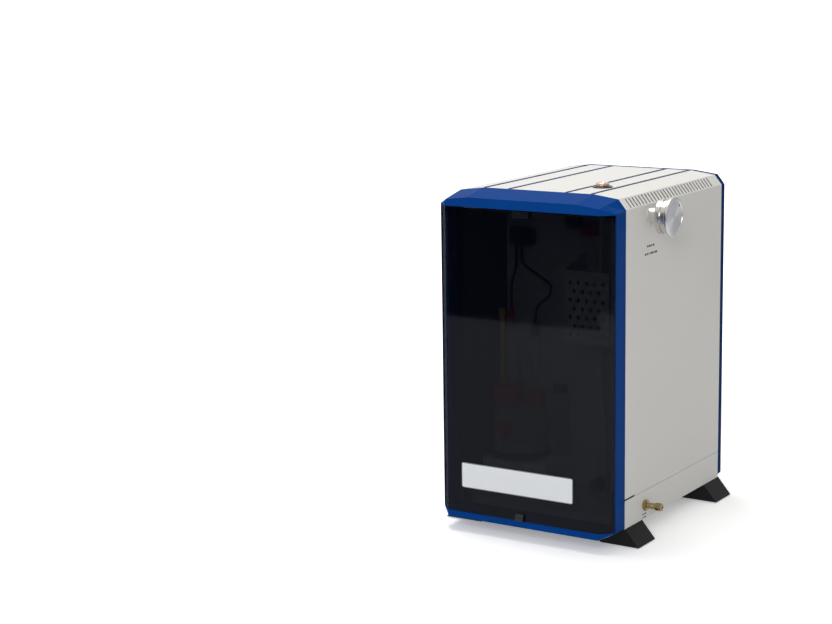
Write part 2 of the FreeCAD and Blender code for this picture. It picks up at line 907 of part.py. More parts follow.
def door_pins():
    """Two steel pins pressed into the ends of the door, turning in the frame's hinge plates."""
    body = new_body()
    length = s.pin_depth + s.door_gap + s.hinge_plate
    x, y = pivot()
    for low in (s.lip_top - s.hinge_plate, door_top - s.pin_depth):
        extrude(body, "XY", low, length, (x, y, s.pin_radius))
    return place(body, "door_pins")


def door_plate():
    """Plain white plate with rounded corners, low on the front of the door."""
    body = new_body()
    left = s.label_offset - s.label_width / 2
    outline = rectangle(left, s.label_bottom, left + s.label_width, s.label_bottom + s.label_height)
    pad = extrude(body, "XZ", door_front - s.label_wall, s.label_wall, outline)
    rounded(body, pad, s.label_wall * 5, lambda edge, middle: abs(edge.tangentAt(0).y) > 0.99)
    return place(body, "door_plate")


def door_pull():
    """Small black finger tab on the bottom edge of the door."""
    body = new_body()
    left = -s.pull_width / 2 - s.pull_reach
    base = door_front
    reach = frame_front - s.pull_reach
    outline = [
        (base, door_bottom), (base, door_bottom + s.pull_height), (base - 1.5, door_bottom + s.pull_height),
        (reach, door_bottom + s.pull_height * 0.6), (reach, door_bottom),
    ]
    extrude(body, "YZ", left, s.pull_width, outline)
    return place(body, "door_pull")


def door_strike():
    """Steel strike on the inside of the door at the top, met by the magnet."""
    body = new_body()
    left = -s.strike_width / 2 - s.pull_reach
    high = door_top - s.door_gap
    plate = rectangle(left, high - s.strike_height, left + s.strike_width, high)
    extrude(body, "XZ", door_back, s.strike_wall, plate)
    return place(body, "door_strike")


def hood_ceiling(y):
    """Height of the hood's inner face over its front slope, at a place along y."""
    rise = s.hood_fall * (1 - s.strip_reach / s.hood_reach) / (s.hood_reach - s.frame_wall - s.strip_reach)
    return top - s.hood_fall - s.frame_wall + (y + s.hood_reach - s.frame_wall) * rise


def door_magnet():
    """Magnetic catch hanging on its bracket from the hood, just behind the strike."""
    body = new_body()
    left = -s.strike_width / 2 - s.pull_reach
    face = door_back + s.strike_wall + s.clearance
    low = door_top - s.door_gap - s.strike_height
    outline = [
        (face, low), (face + s.magnet_depth, low), (face + s.magnet_depth, hood_bottom + 1),
        (face + s.sheet_wall, hood_bottom + 1), (face + s.sheet_wall, hood_ceiling(face + s.sheet_wall)),
        (face, hood_ceiling(face)),
    ]
    extrude(body, "YZ", left + 1, s.strike_width - 2, outline)
    return place(body, "door_magnet")


# Knob and valve on the right side

def selector_knob():
    """Turned knob: stem, grooved body and a wide front disc with a shallow dished face and a dot."""
    body = new_body()
    reach = s.knob_reach
    disc = reach - s.knob_disc_wall
    low = disc - s.knob_body_length
    mid = low + s.knob_body_length / 2
    groove = s.knob_groove_width / 2
    bore = s.spindle_radius + s.spindle_clearance
    profile = [
        (bore, s.bush_wall + s.clearance), (s.knob_stem_radius, s.bush_wall + s.clearance),
        (s.knob_stem_radius, low),
        (s.knob_body_radius, low), (s.knob_body_radius, mid - groove),
        (s.knob_body_radius - s.knob_groove_depth, mid - groove),
        (s.knob_body_radius - s.knob_groove_depth, mid + groove), (s.knob_body_radius, mid + groove),
        (s.knob_body_radius, disc), (s.knob_disc_radius - 0.8, disc), (s.knob_disc_radius, disc + 0.8),
        (s.knob_disc_radius, reach - 0.6), (s.knob_disc_radius - 0.6, reach),
        (s.knob_disc_radius * 0.86, reach), (s.knob_disc_radius * 0.84, reach - 0.5), (0, reach - 0.5),
        (0, low), (bore, low),
    ]
    turned(body, profile)
    dot = (-s.knob_disc_radius * 0.52, s.knob_disc_radius * 0.52, s.knob_groove_width * 0.7)
    extrude(body, "XY", reach - 1.5, 2, dot, cut=True)
    return place(body, "selector_knob", half, s.knob_y, s.knob_height, TO_X)


def knob_spindle():
    """Steel spindle from the valve, through the bush, into the knob."""
    body = new_body()
    inside = s.sheet_wall + s.valve_length * 0.6 - s.clearance
    length = s.knob_reach - s.knob_disc_wall - s.knob_body_length
    extrude(body, "XY", -inside, inside + length, (0, 0, s.spindle_radius))
    return place(body, "knob_spindle", half, s.knob_y, s.knob_height, TO_X)


def selector_valve():
    """Dark valve body behind the side wall with its threaded bush and flange outside."""
    body = new_body()
    wall = s.sheet_wall
    bore = s.spindle_radius + s.spindle_clearance
    bush = s.spindle_radius + s.bush_wall
    bottom = -wall - s.valve_length
    floor = -wall - s.valve_length * 0.6
    profile = [
        (bore, s.bush_wall), (s.bush_radius, s.bush_wall), (s.bush_radius, 0), (bush, 0), (bush, -wall),
        (s.valve_radius, -wall), (s.valve_radius, bottom), (0, bottom), (0, floor), (bore, floor),
    ]
    turned(body, profile)
    return place(body, "selector_valve", half, s.knob_y, s.knob_height, TO_X)


# Gas inlet

def gas_inlet():
    """Brass bulkhead through the base pan wall: flange outside, nut and an upward elbow inside."""
    body = new_body()
    wall = s.sheet_wall
    tail = s.gas_body_radius * 2.4
    neck = s.gas_nut_radius - 1.4
    end = s.gas_reach - 3
    profile = [
        (s.gas_tube_radius, end), (neck, end), (neck, s.gas_flange_wall),
        (s.gas_flange_radius - 0.6, s.gas_flange_wall),
        (s.gas_flange_radius, s.gas_flange_wall - 0.6), (s.gas_flange_radius, 0), (s.gas_body_radius, 0),
        (s.gas_body_radius, -wall), (s.gas_flange_radius, -wall),
        (s.gas_flange_radius, -wall - s.gas_flange_wall),
        (s.gas_body_radius * 0.6, -wall - s.gas_flange_wall), (s.gas_body_radius * 0.6, -tail), (0, -tail),
        (0, end - 14), (s.gas_tube_radius, end - 14),
    ]
    turned(body, profile)
    leg = s.gas_body_radius * 0.6
    extrude(body, "YZ", -s.gas_body_radius * 2, s.gas_body_radius * 2, (0, leg - tail, leg))
    return place(body, "gas_inlet", half, s.gas_y, s.gas_height, TO_X)


def gas_coupling_nut():
    """Brass coupling nut that turns on the end of the inlet, open for the gas tube."""
    body = new_body()
    inner = s.gas_nut_radius - 1.4 + s.pin_clearance
    low = s.gas_reach - s.gas_nut_length
    profile = [
        (inner, low), (s.gas_nut_radius - 0.6, low), (s.gas_nut_radius, low + 0.6),
        (s.gas_nut_radius, s.gas_reach - 2),
        (s.gas_nut_radius - 1.6, s.gas_reach), (s.gas_tube_radius, s.gas_reach),
        (s.gas_tube_radius, s.gas_reach - 3 + 0.3),
        (inner, s.gas_reach - 3 + 0.3),
    ]
    turned(body, profile)
    return place(body, "gas_coupling_nut", half, s.gas_y, s.gas_height, TO_X)


def tube_route():
    """The gas tube's points, from the inlet's elbow to the side of the flow regulator."""
    tail = half - s.gas_body_radius * 2.4 + s.gas_body_radius * 0.6
    start = s.gas_height + s.gas_body_radius * 2
    side = s.regulator_x + s.regulator_size / 2
    climb = s.regulator_height
    run = tail - side
    return [
        (tail, s.gas_y, start),
        (tail, s.gas_y, start + climb * 0.65),
        (tail - run * 0.5, s.gas_y + (s.regulator_y - s.gas_y) * 0.29, start + climb * 0.76),
        (side + run * 0.28, s.regulator_y, start + climb * 0.3),
        (side, s.regulator_y, start + climb * 0.3),
    ]


def hose(points, radius, report):
    """A round tube along straight runs joined by arcs as large as the runs allow."""
    spots = [vector(*point) for point in points]
    edges = []
    here = spots[0]
    radii = []
    for before, corner, after in zip(spots, spots[1:], spots[2:]):
        run_in = corner - before
        run_out = after - corner
        turn = run_in.getAngle(run_out)
        cut = 0.45 * min(run_in.Length, run_out.Length)
        start = corner - run_in.normalize() * cut
        end = corner + run_out.normalize() * cut
        bend = cut / math.tan(turn / 2)
        middle = corner + (end - corner + start - corner).normalize() * (bend / math.cos(turn / 2) - bend)
        edges += [Part.LineSegment(here, start).toShape(), Part.Arc(start, middle, end).toShape()]
        here = end
        radii.append(round(bend, 1))
    edges.append(Part.LineSegment(here, spots[-1]).toShape())
    path = Part.Wire(edges)
    section = Part.Wire(Part.Circle(spots[0], spots[1] - spots[0], number(radius)).toShape())
    shape = path.makePipeShell([section], True, False)
    length = sum(edge.Length for edge in edges)
    share = shape.Volume / (math.pi * number(radius) ** 2 * length)
    print(report, "length", round(length, 1), "bends", radii, "volume share", round(share, 4))
    return shape


def gas_tube():
    """Thin tube from the gas inlet, through the cabin wall, to the flow regulator."""
    return place(plain(hose(tube_route(), s.gas_tube_radius, "gas_tube")), "gas_tube")


# Injection port on the roof

def injection_port():
    """Brass port: flange on the roof, threaded neck above and a spigot down into the case."""
    body = new_body()
    neck_top = s.port_flange_height + s.port_neck_height
    depth = s.sheet_wall + 10
    neck = s.port_neck_radius - 0.4
    seat = neck_top - s.septum_wall
    profile = [
        (s.port_bore_radius, -depth), (s.port_neck_radius, -depth), (s.port_neck_radius, 0),
        (s.port_flange_radius - 1, 0),
        (s.port_flange_radius, 0.6), (s.port_flange_radius - 0.8, s.port_flange_height),
        (neck, s.port_flange_height),
        (neck, neck_top), (s.septum_radius + s.pin_clearance, neck_top),
        (s.septum_radius + s.pin_clearance, seat),
        (s.port_bore_radius, seat),
    ]
    turned(body, profile)
    return place(body, "injection_port", s.port_x, s.port_y, top)


def septum():
    """Rubber disc under the port's nut, pierced for the needle."""
    body = new_body()
    seat = s.port_flange_height + s.port_neck_height - s.septum_wall
    extrude(body, "XY", seat, s.septum_wall, (0, 0, s.septum_radius), (0, 0, s.needle_radius))
    return place(body, "septum", s.port_x, s.port_y, top)


def septum_nut():
    """Knurled brass nut over the septum, open in the middle for the needle."""
    body = new_body()
    low = s.port_flange_height + s.clearance
    inner = s.port_neck_radius - 0.4 + s.pin_clearance
    roof = s.port_flange_height + s.port_neck_height + s.pin_clearance
    high = low + s.port_nut_height
    profile = [
        (inner, low), (s.port_nut_radius - 0.5, low), (s.port_nut_radius, low + 0.5),
        (s.port_nut_radius, high - 0.8),
        (s.port_nut_radius - 0.8, high), (s.port_bore_radius + 1, high), (s.port_bore_radius, high - 1),
        (s.port_bore_radius, roof), (inner, roof),
    ]
    turned(body, profile)
    flute = extrude(body, "XY", low, s.port_nut_height, (s.port_nut_radius + 0.5, 0, 0.9), cut=True)
    around(body, [flute], 16)
    return place(body, "septum_nut", s.port_x, s.port_y, top)


def transfer_tubes():
    """Tube from the injection port down to the oven, and the feed from the regulator up to it."""
    low = top - s.sheet_wall - 10
    oven_top = s.oven_bottom + s.oven_height
    fall = low - oven_top
    down = [
        (s.port_x, s.port_y, low),
        (s.port_x, s.port_y, low - fall * 0.28),
        (s.oven_x, s.oven_y, oven_top + fall * 0.38),
        (s.oven_x, s.oven_y, oven_top),
    ]
    regulator_top = floor_top + s.regulator_height
    rise = (s.oven_bottom - regulator_top) / 4
    up = [
        (s.regulator_x, s.regulator_y, regulator_top),
        (s.regulator_x, s.regulator_y, regulator_top + rise * 1.5),
        (s.oven_x, s.oven_y, regulator_top + rise * 2.5),
        (s.oven_x, s.oven_y, s.oven_bottom),
    ]
    pieces = [hose(down, s.transfer_radius, "transfer_tube"), hose(up, s.transfer_radius, "feed_tube")]
    return place(plain(Part.makeCompound(pieces)), "transfer_tubes")


# Stirrer and measuring cell

platform_under = s.platform_top - s.platform_wall
magnet_low = platform_under - s.clearance - s.magnet_height
vessel_low = s.platform_top + s.seat_floor
vessel_high = vessel_low + s.cell_body_height
cap_low = vessel_high + 3
large_cap_top = cap_low + s.big_cap_height
small_cap_top = cap_low + s.small_cap_height


def stirrer_housing():
    """Open-bottomed box on the cabin floor that carries the cell."""
    body = new_body()
    wall = s.platform_wall
    box = rectangle(-s.platform_left, s.platform_front, -s.platform_right, s.platform_back)
    pad = extrude(body, "XY", floor_top, s.platform_top - floor_top, box)
    rounded(body, pad, wall * 3, upright)
    right, back = -s.platform_right - wall, s.platform_back - wall
    hollow = rectangle(wall - s.platform_left, s.platform_front + wall, right, back)
    extrude(body, "XY", floor_top, platform_under - floor_top, hollow, cut=True)
    return place(body, "stirrer_housing")


def stirrer_motor():
    """Round motor on the cabin floor under the cell, bored for its shaft."""
    body = new_body()
    bore = s.motor_shaft_radius + s.pin_clearance
    high = s.motor_height
    profile = [
        (0, 0), (s.motor_radius, 0), (s.motor_radius, high - 2), (s.motor_radius - 2, high), (bore, high),
        (bore, high / 2), (0, high / 2),
    ]
    turned(body, profile)
    return place(body, "stirrer_motor", s.cell_x, s.cell_y, floor_top)


def drive_magnet():
    """Magnet disc and its shaft, spinning just under the top of the housing."""
    body = new_body()
    low = floor_top + s.motor_height / 2 + s.clearance
    profile = [
        (0, low), (s.motor_shaft_radius, low), (s.motor_shaft_radius, magnet_low),
        (s.magnet_radius, magnet_low),
        (s.magnet_radius, magnet_low + s.magnet_height), (0, magnet_low + s.magnet_height),
    ]
    turned(body, profile)
    return place(body, "drive_magnet", s.cell_x, s.cell_y)


def cell_seat():
    """Shallow ring on the housing that holds the foot of the vessel."""
    body = new_body()
    inner = s.cell_radius + s.clearance
    profile = [
        (0, 0), (s.seat_radius, 0), (s.seat_radius, s.seat_height - 1), (s.seat_radius - 1, s.seat_height),
        (inner, s.seat_height), (inner, s.seat_floor), (0, s.seat_floor),
    ]
    turned(body, profile)
    return place(body, "cell_seat", s.cell_x, s.cell_y, s.platform_top)


def cell_vessel():
    """Glass vessel with a wide neck and a narrow neck above and a short neck in front."""
    body = new_body()
    wall = s.cell_wall
    radius = s.cell_radius
    high = s.cell_body_height
    profile = [
        (0, 0), (radius - 2, 0), (radius, 2), (radius, high - 3), (radius - 3, high), (0, high),
        (0, high - wall),
        (radius - 3 - wall * 0.4, high - wall), (radius - wall, high - 3 - wall * 0.4),
        (radius - wall, wall), (0, wall),
    ]
    turned(body, profile)
    big = (s.big_neck_offset, 0, s.big_neck_radius)
    small = (s.small_neck_offset, 0, s.small_neck_radius)
    extrude(body, "XY", high - wall, wall + s.neck_height, big, small)
    front = s.front_neck_height
    neck = (0, front, s.front_neck_radius)
    extrude(body, "XZ", -radius - s.front_neck_length, s.front_neck_length + wall, neck)
    bores = [(s.big_neck_offset, 0, s.big_neck_radius - wall),
             (s.small_neck_offset, 0, s.small_neck_radius - wall)]
    extrude(body, "XY", high - wall - 1, wall + s.neck_height + 1, *bores, cut=True)
    bore = (0, front, s.front_neck_radius - wall)
    extrude(body, "XZ", -radius - s.front_neck_length, s.front_neck_length + wall * 2, bore, cut=True)
    return place(body, "cell_vessel", s.cell_x, s.cell_y, vessel_low)


def stir_bar():
    """Coated magnet bar in the vessel, turned by the drive magnet below."""
    body = new_body()
    length = s.bar_length / 2
    radius = s.bar_radius
    profile = [(0, -length), (radius - 1, -length), (radius, 1 - length), (radius, length - 1),
               (radius - 1, length),
               (0, length)]
    turned(body, profile)
    rest = vessel_low + s.cell_wall + s.clearance + radius
    return place(body, "stir_bar", s.cell_x, s.cell_y, rest, TO_X)


def cap(label, neck_radius, height, bores, *spot):
    """Screw cap over a neck of the vessel, bored for what passes through it."""
    body = new_body()
    outer = neck_radius + s.cap_skirt
    inner = neck_radius + s.pin_clearance
    depth = s.neck_height - 3
    profile = [(inner, 0), (outer, 0), (outer, height - 1.5), (outer - 1.5, height), (0, height),
               (0, depth),
               (inner, depth)]
    turned(body, profile)
    if bores:
        extrude(body, "XY", depth - 1, height - depth + 2, *bores, cut=True)
    flute = extrude(body, "XY", 0, height * 0.8, (outer + 0.6, 0, 1), cut=True)
    around(body, [flute], 16)
    return place(body, label, *spot)


def large_cap():
    x = s.cell_x + s.big_neck_offset
    gap = s.pin_clearance
    stem = (s.generator_offset - s.big_neck_offset, 0, s.generator_stem_radius + gap)
    tube = (s.drying_offset - s.big_neck_offset, 0, s.drying_radius + gap)
    return cap("large_cap", s.big_neck_radius, s.big_cap_height, [stem, tube], x, s.cell_y, cap_low)


def small_cap():
    x = s.cell_x + s.small_neck_offset
    stem = (0, 0, s.detector_radius + s.pin_clearance)
    return cap("small_cap", s.small_neck_radius, s.small_cap_height, [stem], x, s.cell_y, cap_low)


def front_cap():
    """Cap on the vessel's front neck."""
    body = new_body()
    inner = s.front_neck_radius + s.pin_clearance
    outer = s.front_neck_radius + s.cap_skirt
    length = s.front_cap_length
    depth = length - 3
    profile = [(inner, 0), (outer, 0), (outer, length - 1), (outer - 1, length), (0, length),
               (0, depth), (inner, depth)]
    turned(body, profile)
    y = s.cell_y - s.cell_radius - s.front_neck_length + depth
    return place(body, "front_cap", s.cell_x, y, vessel_low + s.front_neck_height, TO_FRONT)


def generator_electrode():
    """Glass electrode whose stem hangs in the vessel and whose wide head rests on the large cap."""
    body = new_body()
    stem = s.generator_stem_radius
    wide = s.generator_radius
    low = vessel_low + 12
    high = s.generator_top
    profile = [
        (0, low), (stem + 1, low), (stem + 1, low + 6), (stem, low + 8), (stem, large_cap_top),
        (wide, large_cap_top),
        (wide, high - 8), (stem + 1, high), (0, high),
    ]
    turned(body, profile)
    return place(body, "generator_electrode", s.cell_x + s.generator_offset, s.cell_y)


def generator_plug():
    """Dark plug on top of the generator electrode, holding its lead."""
    body = new_body()
    radius = s.plug_radius
    low = s.generator_top
    high = s.plug_top
    profile = [(0, low), (radius, low), (radius, high - 10), (radius - 1.4, high - 8),
               (radius - 2, high), (0, high)]
    turned(body, profile)
    return place(body, "generator_plug", s.cell_x + s.generator_offset, s.cell_y)


def drying_tube():
    """Narrow tube through the large cap with a collar on the cap and a wider head."""
    body = new_body()
    radius = s.drying_radius
    head = s.drying_head_radius
    high = s.drying_top
    profile = [
        (0, large_cap_top - 18), (radius, large_cap_top - 18), (radius, large_cap_top),
        (head, large_cap_top),
        (head, large_cap_top + 5), (radius, large_cap_top + 5), (radius, high - 12), (head, high - 12),
        (head, high - 1),
        (head - 1, high), (0, high),
    ]
    turned(body, profile)
    return place(body, "drying_tube", s.cell_x + s.drying_offset, s.cell_y)


def detector_electrode():
    """Slim double-wire electrode through the small cap, with a collar on the cap."""
    body = new_body()
    radius = s.detector_radius
    collar = s.detector_head_radius
    profile = [
        (0, vessel_low + 12), (radius - 1, vessel_low + 12), (radius, vessel_low + 14),
        (radius, small_cap_top),
        (collar, small_cap_top), (collar, small_cap_top + 6), (radius, small_cap_top + 6),
        (radius, s.detector_top),
        (0, s.detector_top),
    ]
    turned(body, profile)
    return place(body, "detector_electrode", s.cell_x + s.small_neck_offset, s.cell_y)


def detector_head():
    """Dark head on the detector electrode, where its lead comes out."""
    body = new_body()
    radius = s.detector_head_radius
    high = s.detector_head_height
    profile = [(0, 0), (radius, 0), (radius, high - 5), (radius - 2, high - 3), (radius - 3, high),
               (0, high)]
    turned(body, profile)
    return place(body, "detector_head", s.cell_x + s.small_neck_offset, s.cell_y, s.detector_top)


gland_low = s.cabin_top - s.gland_drop - s.gland_tall / 2


def wall_gland():
    """Block on the back wall of the cabin that takes the electrode leads."""
    body = new_body()
    left = s.gland_x - s.gland_width / 2
    low = gland_low
    box = rectangle(left, low, left + s.gland_width, low + s.gland_tall)
    pad = extrude(body, "XZ", s.cabin_depth - s.gland_depth, s.gland_depth, box)
    rounded(body, pad, 3, lambda edge, middle: abs(edge.tangentAt(0).y) > 0.99)
    return place(body, "wall_gland")


def electrode_leads():
    """The leads of both electrodes, from their heads to the underside of the gland."""
    end_y = s.cabin_depth - s.gland_depth / 2
    back = end_y - s.cell_y
    detector_x = s.cell_x + s.small_neck_offset
    head_top = s.detector_top + s.detector_head_height
    rise = gland_low - head_top
    left = s.gland_x - s.gland_width * 0.06
    detector = [
        (detector_x, s.cell_y, head_top),
        (detector_x, s.cell_y, head_top + rise * 0.22),
        (detector_x + s.gland_width * 0.47, s.cell_y + back * 0.25, head_top + rise * 0.36),
        (detector_x + s.gland_width * 0.35, s.cell_y + back * 0.63, head_top + rise * 0.49),
        (left, end_y, gland_low - rise * 0.26),
        (left, end_y, gland_low),
    ]
    generator_x = s.cell_x + s.generator_offset
    climb = gland_low - s.plug_top
    far = s.gland_x - s.gland_width * 0.3
    generator = [
        (generator_x, s.cell_y, s.plug_top),
        (generator_x, s.cell_y, s.plug_top + climb * 0.42),
        (far, end_y, gland_low - climb * 0.42),
        (far, end_y, gland_low),
    ]
    pieces = [
        hose(detector, s.lead_radius, "detector lead"),
        hose(generator, s.lead_radius, "generator lead"),
    ]
    return place(plain(Part.makeCompound(pieces)), "electrode_leads")


def trap_bottle():
    """Small drying bottle on the housing behind the cell."""
    body = new_body()
    radius = s.trap_radius
    high = s.trap_height
    profile = [
        (0, 0), (radius - 1, 0), (radius, 1), (radius, high - 8), (radius - 4, high), (radius - 6, high),
        (radius - 2, high - 8), (radius - 2, 2), (0, 2),
    ]
    turned(body, profile)
    return place(body, "trap_bottle", s.trap_x, s.trap_y, s.platform_top)


def trap_cap():
    """Flat cap closing the drying bottle."""
    body = new_body()
    neck = s.trap_radius - 4
    high = s.trap_cap_height
    profile = [(0, 0), (neck, 0), (neck + 2, 2), (neck + 2, high - 1), (neck + 1, high), (0, high)]
    turned(body, profile)
    return place(body, "trap_cap", s.trap_x, s.trap_y, s.platform_top + s.trap_height)


# Oven and fittings on the back wall

def oven_guard():
    """Perforated cover round the oven, open above and below, fixed to the back wall by two flanges."""
    body = new_body()
    wall = s.guard_wall
    left, right = s.guard_left, s.guard_right
    front, back = s.guard_front, s.cabin_depth
    outline = [
        (left - 8, back), (left - 8, back - wall), (left, back - wall), (left, front), (right, front),
        (right, back - wall), (right + 8, back - wall), (right + 8, back), (right - wall, back),
        (right - wall, front + wall), (left + wall, front + wall), (left + wall, back),
    ]
    extrude(body, "XY", s.guard_bottom, s.guard_back_top - s.guard_bottom, outline)
    slope = [(front - 1, s.guard_front_top), (back - wall, s.guard_back_top),
             (front - 1, s.guard_back_top + 1)]
    extrude(body, "YZ", left - 10, right - left + 20, slope, cut=True)
    pitch_x, pitch_z = s.guard_hole_pitch_x, s.guard_hole_pitch_z
    first_x = (left + right) / 2 - pitch_x * (s.guard_hole_columns - 1) / 2
    first_z = s.guard_bottom + pitch_z
    wide = pitch_x * (s.guard_hole_columns - 1)
    tall = pitch_z * (s.guard_hole_rows - 1)
    hole = extrude(body, "XZ", front - 1, wall + 2, (first_x, first_z, s.guard_hole_radius), cut=True)
    row(body, [hole], "X", wide, s.guard_hole_columns, "Z", tall, (s.guard_hole_rows + 1) / 2)
    inner = (first_x + pitch_x / 2, first_z + pitch_z, s.guard_hole_radius)
    hole = extrude(body, "XZ", front - 1, wall + 2, inner, cut=True)
    row(body, [hole], "X", wide - pitch_x, s.guard_hole_columns - 1, "Z", tall - pitch_z * 2,
        (s.guard_hole_rows - 1) / 2)
    return place(body, "oven_guard")


def oven_block():
    """Round heated block with a foot against the back wall."""
    body = new_body()
    low, high = s.oven_bottom, s.oven_bottom + s.oven_height
    foot = rectangle(s.oven_x - s.oven_radius / 2, s.oven_y, s.oven_x + s.oven_radius / 2, s.cabin_depth)
    extrude(body, "XY", low, s.oven_height, (s.oven_x, s.oven_y, s.oven_radius))
    extrude(body, "XY", low + 10, high - low - 20, foot)
    return place(body, "oven_block")


def terminal_block():
    """Small terminal block on the back wall above the cell."""
    body = new_body()
    x, z = s.terminal_x, s.cabin_top - s.terminal_drop
    wide, tall, front = s.terminal_width / 2, s.terminal_tall / 2, s.cabin_depth - s.terminal_depth
    extrude(body, "XZ", front, s.terminal_depth, rectangle(x - wide, z - tall, x + wide, z + tall))
    sockets = [(x + wide * share, z, wide * 0.15) for share in (-0.55, 0, 0.55)]
    extrude(body, "XZ", front, s.terminal_depth * 0.6, *sockets, cut=True)
    return place(body, "terminal_block")


def changeover_valve():
    """Small solenoid valve on the back wall: a block with a round coil in front."""
    body = new_body()
    x, z = s.change_valve_x, s.cabin_top - s.change_valve_drop
    side = s.change_valve_side / 2
    thick = s.change_valve_reach * 0.4
    extrude(body, "XZ", s.cabin_depth - thick, thick, rectangle(x - side, z - side, x + side, z + side))
    coil = (x, z, s.change_valve_coil)
    extrude(body, "XZ", s.cabin_depth - s.change_valve_reach, s.change_valve_reach - thick, coil)
    return place(body, "changeover_valve")


def flow_regulator():
    """Block on the cabin floor, bored in front for the spindle of its knob."""
    body = new_body()
    side = s.regulator_size
    x, y = s.regulator_x, s.regulator_y
    box = rectangle(x - side / 2, y - side / 2, x + side / 2, y + side / 2)
    pad = extrude(body, "XY", floor_top, s.regulator_height, box)
    rounded(body, pad, 2, upright)
    bore = (x, regulator_axis, s.screw_radius + s.pin_clearance)
    extrude(body, "XZ", y - side / 2, side / 2, bore, cut=True)
    return place(body, "flow_regulator")


regulator_axis = floor_top + s.regulator_height * 0.6


def regulator_knob():
    """Fluted knob with its spindle, turning in the front of the flow regulator."""
    body = new_body()
    radius = s.regulator_knob_radius
    length = s.regulator_knob_length
    profile = [
        (0, -s.regulator_size / 2 + 1), (s.screw_radius, -s.regulator_size / 2 + 1),
        (s.screw_radius, s.clearance),
        (radius, s.clearance), (radius, length - 1), (radius - 1, length), (0, length),
    ]
    turned(body, profile)
    flute = extrude(body, "XY", 4, length, (radius + 0.8, 0, 1.6), cut=True)
    around(body, [flute], 12)
    front = s.regulator_y - s.regulator_size / 2
    return place(body, "regulator_knob", s.regulator_x, front, regulator_axis, TO_FRONT)


# Rear side and electronics

fan_front = s.shell_depth - s.sheet_wall - s.fan_depth


def fan_housing():
    """Square fan frame with a round duct, and a hub plate on three struts at its inner side."""
    body = new_body()
    side = s.fan_size
    hub = s.fan_hub_radius
    duct = s.fan_duct_radius
    box = rectangle(-side / 2, -side / 2, side / 2, side / 2)
    pad = extrude(body, "XY", 0, s.fan_depth, box)
    rounded(body, pad, 4, upright)
    extrude(body, "XY", 0, s.fan_depth, (0, 0, duct), cut=True)
    extrude(body, "XY", 0, 3, (0, 0, hub))
    strut = extrude(body, "XY", 0, 3, rectangle(hub - 2, -2, duct + 1, 2))
    around(body, [strut], 3)
    extrude(body, "XY", 0, 3, (0, 0, s.screw_radius + s.pin_clearance), cut=True)
    return place(body, "fan_housing", s.fan_x, fan_front, s.fan_height, TO_BACK)


def fan_rotor():
    """Hub with seven tilted blades and its shaft."""
    hub = number(s.fan_hub_radius)
    reach = number(s.fan_duct_radius - s.fan_blade_gap)
    low = 4.0
    high = number(s.fan_depth) - 4
    blade = Part.makeBox(reach - hub + 3, 1.6, high - low - 2, Vector(hub - 3, -0.8, low + 1))
    blade.rotate(Vector(0, 0, (low + high) / 2), Vector(1, 0, 0), 38)
    limit = Part.makeCylinder(reach, high - low, Vector(0, 0, low))
    shape = Part.makeCylinder(hub, high - low, Vector(0, 0, low))
    count = int(number(s.fan_blades))
    for i in range(count):
        other = blade.common(limit)
        other.rotate(Vector(), Vector(0, 0, 1), 360 / count * i)
        shape = shape.fuse(other)
    shaft = Part.makeCylinder(number(s.screw_radius), low, Vector(0, 0, 0))
    shape = shape.fuse(shaft).removeSplitter()
    item = plain(shape)
    return place(item, "fan_rotor", s.fan_x, fan_front, s.fan_height, TO_BACK)


def fan_guard():
    """Rings and crossing bars over the fan opening, lying on the rear panel."""
    body = new_body()
    wire = s.guard_wire_radius * 2
    outer = s.fan_duct_radius + wire
    rings = []
    for share in (1, 0.76, 0.52, 0.28):
        rings += [(0, 0, outer * share), (0, 0, outer * share - wire)]
    extrude(body, "XY", 0, wire, *rings)
    for turn in (1, -1):
        bar = outer * 0.7071
        shift = wire * 0.7071 / 2
        corners = [(bar - shift, turn * (bar + shift)), (bar + shift, turn * (bar - shift)),
                   (-bar + shift, turn * (-bar - shift)), (-bar - shift, turn * (-bar + shift))]
        extrude(body, "XY", 0, wire, corners)
    return place(body, "fan_guard", s.fan_x, s.shell_depth, s.fan_height, TO_BACK)


def inlet_span():
    """Bottom and top of the moulding that holds the mains pins and the power switch."""
    low = s.inlet_height - s.inlet_tall / 2 - 2
    high = s.rocker_height + s.rocker_tall / 2 + 2
    return low, high


